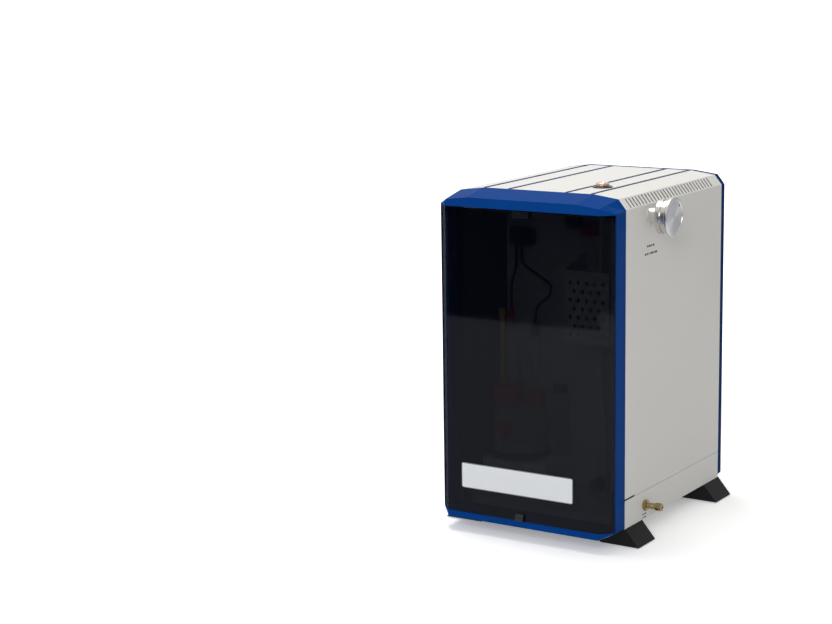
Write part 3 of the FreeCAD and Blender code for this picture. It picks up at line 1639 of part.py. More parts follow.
def mains_inlet():
    """Moulding with the three-pin mains socket below and the seat of the power switch above."""
    body = new_body()
    low, high = inlet_span()
    back = s.shell_depth
    x, wide = s.inlet_x, s.inlet_width / 2
    extrude(body, "XZ", back - s.inlet_depth, s.inlet_depth, rectangle(x - wide, low, x + wide, high))
    edge = s.inlet_flange
    plate = rectangle(x - wide - edge, low - edge, x + wide + edge, high + edge)
    flange = extrude(body, "XZ", back, 2, plate)

    def flange_corner(edge, middle):
        return abs(edge.tangentAt(0).y) > 0.99 and middle.y > number(back)

    rounded(body, flange, 2.5, flange_corner)
    tall = s.inlet_tall / 2
    z = s.inlet_height
    socket = [
        (x - wide + 2, z - tall + 2), (x + wide - 2, z - tall + 2), (x + wide - 2, z + tall - 5),
        (x + wide - 5, z + tall - 2), (x - wide + 5, z + tall - 2), (x - wide + 2, z + tall - 5),
    ]
    extrude(body, "XZ", back - s.inlet_depth + 4, s.inlet_depth, socket, cut=True)
    for px, pz in ((0, 3), (-7, -2), (7, -2)):
        pin = rectangle(x + px - 1, z + pz - 2, x + px + 1, z + pz + 2)
        extrude(body, "XZ", back - s.inlet_depth + 3, s.inlet_depth - 8, pin)
    gap = s.clearance
    seat = rectangle(x - s.rocker_width / 2 - gap, s.rocker_height - s.rocker_tall / 2 - gap,
                     x + s.rocker_width / 2 + gap, s.rocker_height + s.rocker_tall / 2 + gap)
    extrude(body, "XZ", back - s.rocker_depth, s.rocker_depth + 2, seat, cut=True)
    trunnion = (rocker_axis, s.rocker_height, s.pin_radius + s.pin_clearance)
    extrude(body, "YZ", x - s.rocker_width / 2 - 3, s.rocker_width + 6, trunnion, cut=True)
    return place(body, "mains_inlet")


rocker_axis = s.shell_depth - 5


def power_rocker():
    """Rocker of the power switch with its two trunnions."""
    body = new_body()
    x, z = s.rocker_x, s.rocker_height
    radius = s.rocker_tall / 2 - s.clearance
    width = s.rocker_width - s.clearance
    extrude(body, "YZ", x - width / 2, width, (rocker_axis, z, radius))
    face = rocker_axis + radius * 0.62
    upper = [(face, z), (face - radius * 0.12, z + radius + 1), (rocker_axis + radius + 2, z + radius + 1),
             (rocker_axis + radius + 2, z - radius - 1), (face + radius * 0.3, z - radius - 1)]
    extrude(body, "YZ", x - width / 2 - 1, width + 2, upper, cut=True)
    extrude(body, "YZ", x - width / 2 - 2.6, width + 5.2, (rocker_axis, z, s.pin_radius))
    return place(body, "power_rocker")


def data_socket():
    """Flat data socket in the rear panel."""
    body = new_body()
    x, z = s.socket_x, s.socket_height
    wide, tall = s.socket_width / 2, s.socket_tall / 2
    back = s.shell_depth
    extrude(body, "XZ", back - 14, 14, rectangle(x - wide, z - tall, x + wide, z + tall))
    extrude(body, "XZ", back, 1.5, rectangle(x - wide - 3, z - tall - 3, x + wide + 3, z + tall + 3))
    opening = [(x - wide + 4, z - tall + 2.5), (x + wide - 4, z - tall + 2.5),
               (x + wide - 2.5, z + tall - 2.5),
               (x - wide + 2.5, z + tall - 2.5)]
    extrude(body, "XZ", back - 8, 10, opening, cut=True)
    return place(body, "data_socket")


def power_supply():
    """Closed power supply on the floor of the base pan."""
    body = new_body()
    x, y = s.supply_x, s.supply_y
    wide = s.supply_width / 2
    box = rectangle(x - wide, y, x + wide, y + s.supply_length)
    extrude(body, "XY", s.sheet_wall, s.supply_tall, box)
    slot = rectangle(x - wide + 8, y + 10, x - wide + 12, y + s.supply_length - 10)
    vent = extrude(body, "XY", s.sheet_wall + s.supply_tall - 1.2, 2, slot, cut=True)
    row(body, [vent], "X", s.supply_width - 20, 8)
    return place(body, "power_supply")


def control_board():
    """Circuit board on four standoffs behind the cabin's back wall, with its larger components."""
    body = new_body()
    wide = s.board_width / 2
    back = s.cabin_depth + s.sheet_wall
    face = back + s.board_standoff
    low, tall = s.board_bottom, s.board_tall
    extrude(body, "XZ", face, s.board_wall, rectangle(-wide, low, wide, low + tall))
    inset = s.board_standoff * 0.75
    posts = [(side * (wide - inset), low + z, inset / 2) for side in (-1, 1) for z in (inset, tall - inset)]
    extrude(body, "XZ", back, s.board_standoff, *posts)
    rear = face + s.board_wall
    chip_x, chip_z = -wide * 0.32, low + tall * 0.41
    chip = rectangle(chip_x, chip_z, chip_x + s.chip_side, chip_z + s.chip_side)
    extrude(body, "XZ", rear, s.chip_wall, chip)
    sockets = []
    for x, z, w, h in ((wide * 0.4, low + tall * 0.12, s.connector_width, s.connector_tall),
                       (-wide * 0.83, low + tall * 0.14, s.connector_tall, s.connector_width)):
        sockets.append(rectangle(x, z, x + w, z + h))
    extrude(body, "XZ", rear, s.connector_depth, *sockets)
    cans = [(wide * 0.53, low + tall * share, s.capacitor_radius) for share in (0.65, 0.79)]
    extrude(body, "XZ", rear, s.capacitor_height, *cans)
    return place(body, "control_board")


for build in (
    outer_shell, roof_trim_strips, base_pan, front_frame, rear_frame, rear_panel, foot_bars, foot_pads,
    case_screws, cabin_liner, cabin_floor, cabin_ceiling, door_panel, door_pins, door_plate, door_pull,
    door_strike, door_magnet, selector_knob, knob_spindle, selector_valve, gas_inlet, gas_coupling_nut,
    gas_tube, injection_port, septum, septum_nut, transfer_tubes, stirrer_housing, stirrer_motor,
    drive_magnet, cell_seat, cell_vessel, stir_bar, large_cap, small_cap, front_cap,
    generator_electrode, generator_plug, drying_tube, detector_electrode, detector_head, wall_gland,
    electrode_leads, trap_bottle, trap_cap, oven_guard, oven_block, terminal_block, changeover_valve,
    flow_regulator, regulator_knob, fan_housing, fan_rotor, fan_guard, mains_inlet, power_rocker,
    data_socket, power_supply, control_board,
):
    build()

doc.recompute()
faulty = [item.Name for item in doc.Objects if {"Invalid", "Error"} & set(item.State)]
if faulty:
    raise RuntimeError("these objects did not build: " + ", ".join(faulty))
for part in subparts:
    if part.Shape.isNull() or not part.Shape.isValid():
        raise RuntimeError(part.Label + " has no valid shape")

os.makedirs("parts", exist_ok=True)
for part in subparts:
    part.Shape.exportStep("parts/" + part.Label + ".step")
    print(part.Label, round(part.Shape.Volume), len(part.Shape.Solids))
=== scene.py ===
import json
import math

import bmesh
import bpy
from mathutils import Matrix, Vector


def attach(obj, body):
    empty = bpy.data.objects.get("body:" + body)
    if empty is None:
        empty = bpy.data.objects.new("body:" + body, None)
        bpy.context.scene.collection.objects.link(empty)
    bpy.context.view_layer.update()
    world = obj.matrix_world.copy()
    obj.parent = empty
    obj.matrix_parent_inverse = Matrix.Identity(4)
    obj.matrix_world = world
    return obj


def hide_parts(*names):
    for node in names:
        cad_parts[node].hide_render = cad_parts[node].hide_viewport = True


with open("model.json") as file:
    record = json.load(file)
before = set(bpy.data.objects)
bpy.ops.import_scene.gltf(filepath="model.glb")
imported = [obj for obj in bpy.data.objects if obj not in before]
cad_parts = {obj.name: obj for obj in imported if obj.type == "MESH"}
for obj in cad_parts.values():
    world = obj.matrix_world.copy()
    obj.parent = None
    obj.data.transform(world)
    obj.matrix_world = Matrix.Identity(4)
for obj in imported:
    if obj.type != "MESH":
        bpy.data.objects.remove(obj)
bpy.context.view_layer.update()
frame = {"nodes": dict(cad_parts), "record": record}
slotOf = {row["node"]: row["material_slot"] for row in frame["record"]["subparts"]}
bodyOf = {node: body for body, nodes in frame["record"]["behaviour"]["bodies"].items() for node in nodes}
mm = 0.001
origin = Vector((8.0, 124.9, -24.0))  # the object's origin, in millimetres from the case's front edge


def spot(x, y, z):  # a point given from the case's front edge, in millimetres
    return (Vector((x, y, z)) - origin) * mm


class Wire:  # a shader socket that takes part in sums
    def __init__(self, finish, socket):
        self.finish = finish
        self.socket = socket

    def joined(self, operation, first, second):
        return self.finish.node("ShaderNodeMath", {"operation": operation}, {0: first, 1: second})

    def __add__(self, other):
        return self.joined("ADD", self, other)

    __radd__ = __add__

    def __sub__(self, other):
        return self.joined("SUBTRACT", self, other)

    def __rsub__(self, other):
        return self.joined("SUBTRACT", other, self)

    def __mul__(self, other):
        return self.joined("MULTIPLY", self, other)

    __rmul__ = __mul__

    def __pow__(self, other):
        return self.joined("POWER", self, other)

    def __gt__(self, other):
        return self.joined("GREATER_THAN", self, other)

    def __lt__(self, other):
        return self.joined("LESS_THAN", self, other)

    def __abs__(self):
        return self.finish.node("ShaderNodeMath", {"operation": "ABSOLUTE"}, {0: self})

    def larger(self, other):
        return self.joined("MAXIMUM", self, other)

    def ranged(self, *ends):  # from between the first two ends to between the last two
        return self.finish.node("ShaderNodeMapRange", {}, dict(enumerate((self, *ends))))


class Finish:  # the node tree of a material, or of the world
    def __init__(self, name, kind="materials"):
        self.item = getattr(bpy.data, kind).new(name)
        self.item.use_nodes = True
        self.tree = self.item.node_tree
        self.tree.nodes.clear()
        self.place = self.node("ShaderNodeTexCoord", output="Object")

    def node(self, kind, settings=None, inputs=None, output=0):
        made = self.tree.nodes.new(kind)
        for name, value in (settings or {}).items():
            setattr(made, name, value)
        for name, value in (inputs or {}).items():
            if isinstance(value, Wire):
                self.tree.links.new(value.socket, made.inputs[name])
            else:
                made.inputs[name].default_value = value
        return Wire(self, made.outputs[output]) if made.outputs else None

    def noise(self, scale, detail=2, stretch=(1, 1, 1)):
        place = self.node("ShaderNodeMapping", {}, {"Vector": self.place, "Scale": stretch})
        return self.node("ShaderNodeTexNoise", {}, {"Vector": place, "Scale": scale, "Detail": detail})

    def ringNoise(self, along, scale):  # noise that changes along one value only
        return self.node("ShaderNodeTexNoise", {"noise_dimensions": "1D"},
                         {"W": along, "Scale": scale, "Detail": 1})

    def shade(self, factor, first, second):  # a colour between two, by a factor
        first, second = (c if isinstance(c, Wire) else (*c, 1) for c in (first, second))
        inputs = {"Factor": factor, 6: first, 7: second}  # sockets 6 and 7 are the two colours
        return self.node("ShaderNodeMix", {"data_type": "RGBA"}, inputs, output=2)

    def bump(self, height, distance, strength):
        inputs = {"Height": height, "Distance": distance, "Strength": strength}
        return self.node("ShaderNodeBump", {}, inputs)

    def split(self, axis):
        return self.node("ShaderNodeSeparateXYZ", {}, {"Vector": self.place}, output=axis)

    def rays(self, kind):
        return self.node("ShaderNodeLightPath", output=f"Is {kind} Ray")

    def surface(self, **sockets):  # the Principled surface that ends a finish
        inputs = {name.replace("_", " "): value for name, value in sockets.items()}
        inputs = {"IOR" if name == "Ior" else name: value for name, value in inputs.items()}
        shader = self.node("ShaderNodeBsdfPrincipled", {}, inputs)
        self.node("ShaderNodeOutputMaterial", {}, {"Surface": shader})
        return self.item


def tone(*levels):  # a colour written as 0 to 255, for the shader
    shares = (level / 255 for level in levels)
    return tuple(v / 12.92 if v <= 0.04045 else ((v + 0.055) / 1.055) ** 2.4 for v in shares)


# paints, which may have patches of painted shade

caseSize = {"half": 125, "height": 428, "skin": 0.7, "paintedShadeAbove": 34}  # millimetres, as all sizes here
caseFolds = ((125, 410.5), (114.5, 423.6)), ((114.5, 423.6), (79.5, 428))  # the two sloping facets' ends
cabin = {"leftWall": -114.5, "middle": 5, "flangeFrom": 107.5, "flangeDeep": 3}
hingeEdge = {"x": -124.6, "y": -27.2, "top": 404, "bottom": 8}


def powderCoat(name, colour, darker, roughness, grain, sheen, patches=()):
    f = Finish(name)
    fine = f.noise(grain)
    broad = f.noise(9, 3)
    paint = f.shade(broad, darker, colour)
    for covers, patch in patches:
        paint = f.shade(covers(f), paint, patch)
    return f.surface(
        Base_Color=paint,
        Roughness=roughness - 0.05 + broad * 0.1,
        Normal=f.bump(fine, 0.00006, 0.35),
        Specular_IOR_Level=sheen,
    )


def behindTheSheet(f):  # everything below the outer face of the case's sheet, such as the walls of a slot, which gets painted shade
    skin = caseSize["skin"] * mm
    across = abs(f.split("X") + origin.x * mm)
    high = f.split("Z") + origin.z * mm
    hidden = (across < (caseSize["half"] * mm - skin)) * (high < (caseSize["height"] * mm - skin))
    for (x1, z1), (x2, z2) in caseFolds:
        size = math.hypot(x2 - x1, z2 - z1)
        inward = (z2 - z1) / size, (x1 - x2) / size
        level = (x1 * inward[0] + z1 * inward[1]) * mm
        hidden = hidden * ((across * inward[0] + high * inward[1]) < (level - skin))
    return hidden * (high > caseSize["paintedShadeAbove"] * mm)


# painted shade: the cabin's left wall is coloured darker, as if in shadow
def onTheLeftWall(f):
    return f.split("X") < spot(cabin["leftWall"], 0, 0).x


def onTheFlange(f):  # the liner's front flange, which lies behind the blue frame, painted near black as shade
    across = abs(f.split("X") + origin.x * mm - cabin["middle"] * mm)
    return (across > cabin["flangeFrom"] * mm) * (f.split("Y") + origin.y * mm < cabin["flangeDeep"] * mm)


def onTheHingeEdge(f):  # where the door closes over the blue frame, painted near black as shade in the gap
    x, y, z = f.split("X"), f.split("Y"), f.split("Z")
    edge = (x < spot(hingeEdge["x"], 0, 0).x) * (y < spot(0, hingeEdge["y"], 0).y)
    return edge * (z < spot(0, 0, hingeEdge["top"]).z) * (z > spot(0, 0, hingeEdge["bottom"]).z)


# plastics, metals, glass


def moulded(name, colour, roughness, grain=2600):
    f = Finish(name)
    fine = f.noise(grain)
    smudge = f.noise(60, 3)
    lighter = tuple(min(1, c * 1.25 + 0.004) for c in colour)
    return f.surface(
        Base_Color=f.shade(smudge, colour, lighter),
        Roughness=roughness - 0.06 + smudge * 0.12,
        Normal=f.bump(fine, 0.00005, 0.3),
    )


# fine rings round an axis through the piece's middle, and on a face turned on the lathe a painted highlight
# in two bright fans
def turnedMetal(name, axis, colour, roughness, pitch, depth, metallic=1.0, paintedHighlightFans=None):
    f = Finish(name)
    along, middle = axis
    a, b = (f.split(i) - middle[i] for i in range(3) if i != along)
    radius = (a * a + b * b) ** 0.5
    marks = f.ringNoise(radius, pitch) + f.ringNoise(f.split(along), pitch)
    stain = f.noise(90, 3)
    # painted highlight: two bright fans across the turned face, the rest of the face darker
    if paintedHighlightFans:
        toward = a * math.cos(paintedHighlightFans["turn"]) + b * math.sin(paintedHighlightFans["turn"])
        paintedHighlight = (toward * toward * (radius * radius + 1e-9) ** -1) ** 4
        face = f.split(along) > middle[along] + paintedHighlightFans["from"] * mm
        metal = f.shade(paintedHighlight * face, tuple(c * 0.74 for c in colour), colour)
        roughness = face * paintedHighlightFans["matter"] + (roughness - paintedHighlightFans["matter"])
    else:
        metal = f.shade(stain, tuple(c * 0.82 for c in colour), colour)
    return f.surface(
        Base_Color=metal,
        Metallic=metallic,
        Roughness=roughness - 0.06 + stain * 0.12,
        Normal=f.bump(marks, depth, 0.5),
    )


def brushed(name, colour, roughness, stretch):
    f = Finish(name)
    marks = f.noise(400, 3, stretch)
    stain = f.noise(40)
    return f.surface(
        Base_Color=f.shade(stain, tuple(c * 0.85 for c in colour), colour),
        Metallic=1.0,
        Roughness=roughness - 0.08 + marks * 0.16,
        Normal=f.bump(marks, 0.00004, 0.4),
    )


def tintedSheet(name, look):
    f = Finish(name)
    haze = f.noise(14, 3)
    seen = f.rays("Camera")
    seal = f.split("X") < spot(look["sealTo"], 0, 0).x  # matt along the hinge
    return f.surface(
        Base_Color=f.shade(haze, look["colour"], look["haze"]),
        Roughness=0.02 + haze * 0.03 + seal * look["sealMatt"],
        Alpha=look["alpha"] - (1 - seen) * look["letIn"] - seal * look["sealClear"],
        Ior=look["ior"],
    )


def clearGlass(name):
    f = Finish(name)
    thickness = f.node("ShaderNodeLayerWeight", {}, {"Blend": 0.35}, output="Facing")
    return f.surface(
        Base_Color=(0.82, 0.88, 0.88, 1),
        Roughness=0.05,
        Alpha=0.16 + thickness * 0.6,
        Ior=1.47,
    )


def board(name):
    f = Finish(name)
    inputs = {"Vector": f.place, "Scale": 90, "Mortar Size": 0.02}
    tracks = f.node("ShaderNodeTexBrick", {"offset": 0.37}, inputs, output="Fac")
    return f.surface(
        Base_Color=f.shade(tracks, tone(16, 74, 42), tone(30, 110, 60)),
        Roughness=0.3 + tracks * 0.15,
        Normal=f.bump(tracks, 0.00005, 0.5),
    )


def valveCoat(name):  # black body, bright flange outside the side wall
    f = Finish(name)
    outside = f.split("X") > spot(caseSize["half"], 0, 0).x
    grain = f.noise(900)
    return f.surface(
        Base_Color=f.shade(outside, tone(30, 30, 32), (0.9, 0.89, 0.87)),
        Metallic=outside,
        Roughness=0.34 + grain * 0.08,
    )


def rimmed(name, node, colour, rim, width):  # a flat plate with a darker line round its edge
    corners = [v.co for v in frame["nodes"][node].data.vertices]
    f = Finish(name)
    clear = []
    for axis in (0, 2):
        low, high = min(c[axis] for c in corners), max(c[axis] for c in corners)
        clear.append(abs(f.split(axis) - (low + high) / 2) < ((high - low) / 2 - width * mm))
    fine = f.noise(900)
    return f.surface(
        Base_Color=f.shade(clear[0] * clear[1], rim, colour),
        Roughness=0.35 + fine * 0.06,
        Normal=f.bump(fine, 0.00003, 0.3),
    )


sheetLook = {
    "colour": (0.0006, 0.001, 0.003), "haze": (0.0012, 0.0018, 0.0045), "alpha": 0.83, "letIn": 0.56,
    "ior": 1.27, "sealTo": -110.5, "sealMatt": 0.5, "sealClear": 0.25,
}
finishes = {
    # the dark grey patch is painted shade on the walls of slots and in the seam's gap
    "case_paint": powderCoat("warmWhiteCoat", tone(238, 237, 232), tone(234, 232, 227), 0.55, 1800, 0.14,
                             [(behindTheSheet, tone(46, 46, 47))]),
    "blue_paint": powderCoat("deepBlueCoat", tone(12, 50, 108), tone(10, 44, 98), 0.3, 1500, 0.008),
    "black_paint": powderCoat("blackCoat", tone(19, 19, 20), tone(14, 14, 15), 0.5, 1500, 0.16),
    "tinted_sheet": tintedSheet("tintedDoorSheet", sheetLook),
    "white_plate": moulded("whitePlate", tone(247, 249, 251), 0.35, 900),
    "black_plastic": moulded("blackPlastic", tone(30, 30, 32), 0.45),
    "white_plastic": moulded("whitePlastic", tone(225, 225, 220), 0.4),
    "red_plastic": moulded("redPlastic", tone(190, 34, 32), 0.4),
    "yellow_plastic": moulded("yellowPlastic", tone(222, 190, 40), 0.35),
    "turned_aluminium": brushed("plainAluminium", (0.78, 0.78, 0.77), 0.35, (1, 1, 12)),
    "steel": brushed("platedSteel", (0.62, 0.62, 0.61), 0.3, (1, 1, 9)),
    "brass": brushed("plainBrass", (0.76, 0.6, 0.33), 0.28, (6, 1, 1)),
    "rubber": moulded("padRubber", tone(28, 28, 28), 0.8, 1500),
    # painted shade: the darker left wall, and the near-black flange behind the blue frame
    "liner_paint": powderCoat("linerCoat", tone(208, 213, 223), tone(199, 204, 214), 0.45, 1500, 0.3,
                              [(onTheLeftWall, tone(84, 88, 98)), (onTheFlange, tone(14, 16, 24))]),
    "clear_glass": clearGlass("clearGlass"),
    "magnet": brushed("groundMagnet", (0.22, 0.22, 0.23), 0.4, (10, 1, 1)),
    "lead_sheath": moulded("leadSheath", tone(26, 26, 28), 0.5),
    "tube_plastic": moulded("tubePlastic", tone(224, 222, 212), 0.4),
    "circuit_green": board("circuitBoard"),
}
ownFinish = {  # nodes that look different from the rest of their slot
    # the hinge edge patch is painted shade where the door closes over the frame
    "front_frame": powderCoat("frontBlueCoat", tone(12, 70, 146), tone(9, 61, 133), 0.3, 1500, 0.008,
                              [(onTheHingeEdge, tone(9, 10, 14))]),
    "door_pins": brushed("blackenedPin", (0.03, 0.03, 0.032), 0.5, (1, 1, 9)),
    "door_plate": rimmed("platePrint", "door_plate", tone(238, 241, 243), tone(120, 124, 130), 1.1),
    "door_pull": moulded("pullPlastic", tone(15, 15, 17), 0.5),
    "selector_valve": valveCoat("valveCoat"),
    "oven_block": moulded("ovenBlack", tone(16, 16, 17), 0.6),
    "oven_guard": powderCoat("guardCoat", tone(226, 228, 234), tone(214, 217, 224), 0.4, 1500, 0.4),
}
for name, piece in frame["nodes"].items():
    piece.data.materials.clear()
    piece.data.materials.append(ownFinish.get(name, finishes[slotOf[name]]))
print("finishes made")


def settled(piece, body, slot, replaced=(), material=None, edge=0.0, angle=30):
    piece.data.materials.clear()
    piece.data.materials.append(material or finishes[slot])
    for polygon in piece.data.polygons:
        polygon.use_smooth = True
    if edge:
        bevel = piece.modifiers.new("edge", "BEVEL")
        bevel.width = edge * mm
        bevel.segments = 2
        bevel.limit_method = "ANGLE"
        bevel.angle_limit = math.radians(angle)
        piece.modifiers.new("flat faces", "WEIGHTED_NORMAL").weight = 100
    else:
        piece.data.set_sharp_from_angle(angle=math.radians(angle))
    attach(piece, body)
    if replaced:
        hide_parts(*replaced)


def pieceFrom(work, name):
    mesh = bpy.data.meshes.new(name)
    work.to_mesh(mesh)
    work.free()
    piece = bpy.data.objects.new(name, mesh)
    bpy.context.collection.objects.link(piece)
    return piece


def eased(node, edge, angle):  # the node's own shape with its edges rounded
    work = bmesh.new()
    work.from_mesh(frame["nodes"][node].data)
    bmesh.ops.remove_doubles(work, verts=work.verts, dist=0.002 * mm)
    bmesh.ops.dissolve_limit(work, angle_limit=math.radians(0.6), verts=work.verts, edges=work.edges)
    piece = pieceFrom(work, node.replace("_", "-") + "-finished")
    settled(piece, bodyOf[node], slotOf[node], [node], ownFinish.get(node), edge, angle)


def turned(profile, steps):  # an outline of (radius, height) in millimetres, spun about Z
    work = bmesh.new()
    verts = [work.verts.new((r * mm, 0, h * mm)) for r, h in profile]
    edges = [work.edges.new(pair) for pair in zip(verts, verts[1:])]
    if profile[0][0] and profile[-1][0]:
        edges.append(work.edges.new((verts[-1], verts[0])))
    bmesh.ops.spin(work, geom=verts + edges, cent=(0, 0, 0), axis=(0, 0, 1), angle=math.tau, steps=steps,
                   use_merge=True)
    bmesh.ops.remove_doubles(work, verts=work.verts, dist=0.001 * mm)
    bmesh.ops.recalc_face_normals(work, faces=work.faces)
    return work


toX = Matrix.Rotation(math.radians(90), 4, "Y")
toBack = Matrix.Rotation(math.radians(-90), 4, "X")
toFloor = Matrix.Rotation(math.pi, 4, "X")


def moved(work, where, turn=None):
    if turn:
        bmesh.ops.transform(work, matrix=turn, verts=work.verts)
    bmesh.ops.translate(work, vec=where, verts=work.verts)
    return work


def brick(work, size, where):  # a block of (x, y, z) millimetres round a point, and its corners
    verts = bmesh.ops.create_cube(work, size=1)["verts"]
    bmesh.ops.scale(work, vec=[side * mm for side in size], verts=verts)
    bmesh.ops.translate(work, vec=where, verts=verts)
    return verts


# edges of the sheet-metal and moulded pieces

easedEdges = {  # radius of the rounding, in millimetres
    "outer_shell": 0.5, "base_pan": 0.5, "front_frame": 0.9, "rear_frame": 0.9, "rear_panel": 0.3,
    "foot_bars": 1.6, "foot_pads": 0.6,
    "door_panel": 0.6, "door_plate": 0.25, "door_pull": 0.6, "door_strike": 0.3, "door_magnet": 0.4,
    "roof_trim_strips": 0.15,
    "cabin_liner": 0.3, "cabin_floor": 0.3, "wall_gland": 0.8, "stirrer_housing": 0.6, "stirrer_motor": 0.4,
    "terminal_block": 0.5, "changeover_valve": 0.6, "flow_regulator": 0.5, "regulator_knob": 0.3,
    "oven_guard": 0.15, "oven_block": 0.5,
    "large_cap": 0.35, "small_cap": 0.3, "front_cap": 0.4,
    "fan_housing": 0.5, "fan_rotor": 0.3, "fan_guard": 0.5,
    "mains_inlet": 0.4, "power_rocker": 0.3, "data_socket": 0.3, "power_supply": 0.8,
    "selector_valve": 0.4,
}
leastAngle = {  # degrees that count as an edge, where not 30: shallow bends, and knurls that stay sharp
    "outer_shell": 6, "front_frame": 6, "rear_frame": 6, "door_pull": 6,
    "regulator_knob": 40, "large_cap": 40, "small_cap": 40,
}
for node, edge in easedEdges.items():
    eased(node, edge, leastAngle.get(node, 30))
print("edges eased")


# selector knob

knob = {
    "place": (125, 66, 396), "bore": 4.05, "stem": 10.5, "stemFrom": 2.3, "body": 22.5, "bodyFrom": 16,
    "groove": (22.7, 24.3), "grooveDeep": 2, "disc": 25.5, "discFrom": 31, "reach": 35, "rim": 22.4,
    "dot": 1.2, "dotFrom": (-13.3, 13.3, 34.2), "dotTo": 34.75, "steps": 96,
}
# where the knob face's painted highlight points, where the face begins, and how much matter the face is
paintedHighlightFans = {"turn": 0.6, "from": 33.5, "matter": 0.07}
where = spot(*knob["place"])
knobMetal = turnedMetal("turnedKnob", (0, where), (0.99, 0.96, 0.91), 0.3, 900, 0.0000015, paintedHighlightFans=paintedHighlightFans)
bore, stem, body, disc, rim = (knob[key] for key in ("bore", "stem", "body", "disc", "rim"))
low, back, reach = knob["bodyFrom"], knob["discFrom"], knob["reach"]
(near, far), bottom = knob["groove"], body - knob["grooveDeep"]
work = turned([
    (bore, knob["stemFrom"]), (stem, knob["stemFrom"]), (stem, low), (body - 0.8, low), (body, low + 0.8),
    (body, near), (bottom, near), (bottom, far), (body, far), (body, back), (disc - 0.8, back),
    (disc, back + 0.8), (disc, reach - 0.7), (disc - 0.7, reach), (rim, reach), (rim - 0.3, reach - 1.1),
    (rim - 0.7, reach - 1.1), (rim - 1.2, reach - 0.5), (12, reach - 0.7), (0, reach - 0.8), (0, low),
    (bore, low),
], knob["steps"])
settled(pieceFrom(moved(work, where, toX), "selector-knob-turned"), "knob", "turned_aluminium",
        ["selector_knob"], knobMetal, 0.25)
x, y, low = knob["dotFrom"]
work = turned([(0, low), (knob["dot"], low), (knob["dot"], knob["dotTo"]), (0, knob["dotTo"])], 20)
moved(work, Vector((x, y, 0)) * mm)
settled(pieceFrom(moved(work, where, toX), "knob-index-dot"), "knob", "black_plastic")
print("knob made")


# gas inlet: turned neck with its thread, hexagon flange, elbow inside, coupling nut

inlet = {
    "place": (125, 57, 18), "elbow": (116, 57, 18), "bore": 1.65, "neck": 4.2, "root": 3.85, "pitch": 0.75,
    "end": 22, "collar": 6.9, "collarWall": 4.2, "flange": 7.5, "flangeWall": (0.05, 3.6), "nut": 5.6,
    "nutFlats": (18.2, 21.3), "steps": 48,
}
where = spot(*inlet["place"])


def hexagon(radius, low, high):
    work = bmesh.new()
    bmesh.ops.create_cone(work, cap_ends=True, segments=6, radius1=radius * mm, radius2=radius * mm,
                          depth=(high - low) * mm)
    return moved(work, (0, 0, (low + high) / 2 * mm))


def threaded(radius, root, low, high, pitch):  # outline points of a thread, up one side
    points = []
    for i in range(int((high - low) / pitch)):
        points += [(root, low + i * pitch), (radius, low + (i + 0.5) * pitch)]
    return points + [(root, high)]


brassRings = turnedMetal("turnedBrass", (0, where), (0.4, 0.31, 0.15), 0.22, 1200, 0.00003)
bore, end, collar, wall = (inlet[key] for key in ("bore", "end", "collar", "collarWall"))
thread = threaded(inlet["neck"], inlet["root"], wall, end - 0.5, inlet["pitch"])
neck = [
    (bore, end), (4, end), *reversed(thread), (collar, wall), (collar, 0), (5, 0), (5, -1.5), (7.2, -1.5),
    (7.2, -5.5), (3, -5.5), (3, -12), (0, -12), (0, 8), (bore, 8),
]
nut = [
    (4.25, 16), (4.9, 16), (5.2, 16.4), (5.2, 17), (4.8, 17.2), (4.8, 17.7), (5.5, 17.9), (5.5, 21.6),
    (4.9, 22), (4.9, 22.6), (5.3, 22.9), (5.3, 24.2), (4.2, 25), (bore, 25), (bore, 22.3), (4.25, 22.3),
]
flange = hexagon(inlet["flange"], *inlet["flangeWall"])
elbow = turned([(0, 0), (3, 0), (3, 10), (2.4, 10), (0, 10)], 32)
flats = hexagon(inlet["nut"], *inlet["nutFlats"])
fittings = (  # mesh, piece, body, replaced nodes, edge radius
    (moved(turned(neck, inlet["steps"]), where, toX), "gas-inlet-turned", "cabinet", ["gas_inlet"], 0.15),
    (moved(flange, where, toX), "gas-inlet-hexagon", "cabinet", (), 0.5),
    (moved(elbow, spot(*inlet["elbow"])), "gas-inlet-elbow", "cabinet", (), 0.2),
    (moved(turned(nut, inlet["steps"]), where, toX), "gas-coupling-nut-turned", "coupling_nut",
     ["gas_coupling_nut"], 0.12),
    (moved(flats, where, toX), "gas-coupling-nut-hexagon", "coupling_nut", (), 0.35),
)
for work, name, body, replaced, edge in fittings:
    settled(pieceFrom(work, name), body, "brass", replaced, brassRings, edge)
print("gas inlet made")


# injection port on the roof, with its knurled nut

port = {
    "place": (58, 66, 428), "bore": 2, "flange": 13, "height": 1.6, "neck": 6.6, "nut": 8.6, "nutTop": 6.3,
    "ridges": 40, "ridge": (0.9, 0.5, 3.1), "ridgeLevel": 3.85, "steps": 72,
}
where = spot(*port["place"])
portRings = turnedMetal("turnedPort", (2, where), (0.09, 0.065, 0.045), 0.3, 1200, 0.00001)
nutRings = turnedMetal("turnedPortNut", (2, where), (0.88, 0.72, 0.6), 0.26, 1200, 0.000005, metallic=0.85)
bore, flange, level, neck = (port[key] for key in ("bore", "flange", "height", "neck"))
work = turned([
    (bore, -11.5), (7, -11.5), (7, 0), (flange - 0.6, 0), (flange, 0.5), (flange, 1.1),
    (flange - 0.5, level), (10.6, level), (10.4, 1.1), (9.4, 1.1), (9.2, level), (neck, level), (neck, 4.6),
    (5.05, 4.6), (5.05, 2.2), (bore, 2.2),
], port["steps"])
settled(pieceFrom(moved(work, where), "injection-port-turned"), "cabinet", "brass", ["injection_port"],
        portRings, 0.12)
wide, top = port["nut"] - 0.5, port["nutTop"]
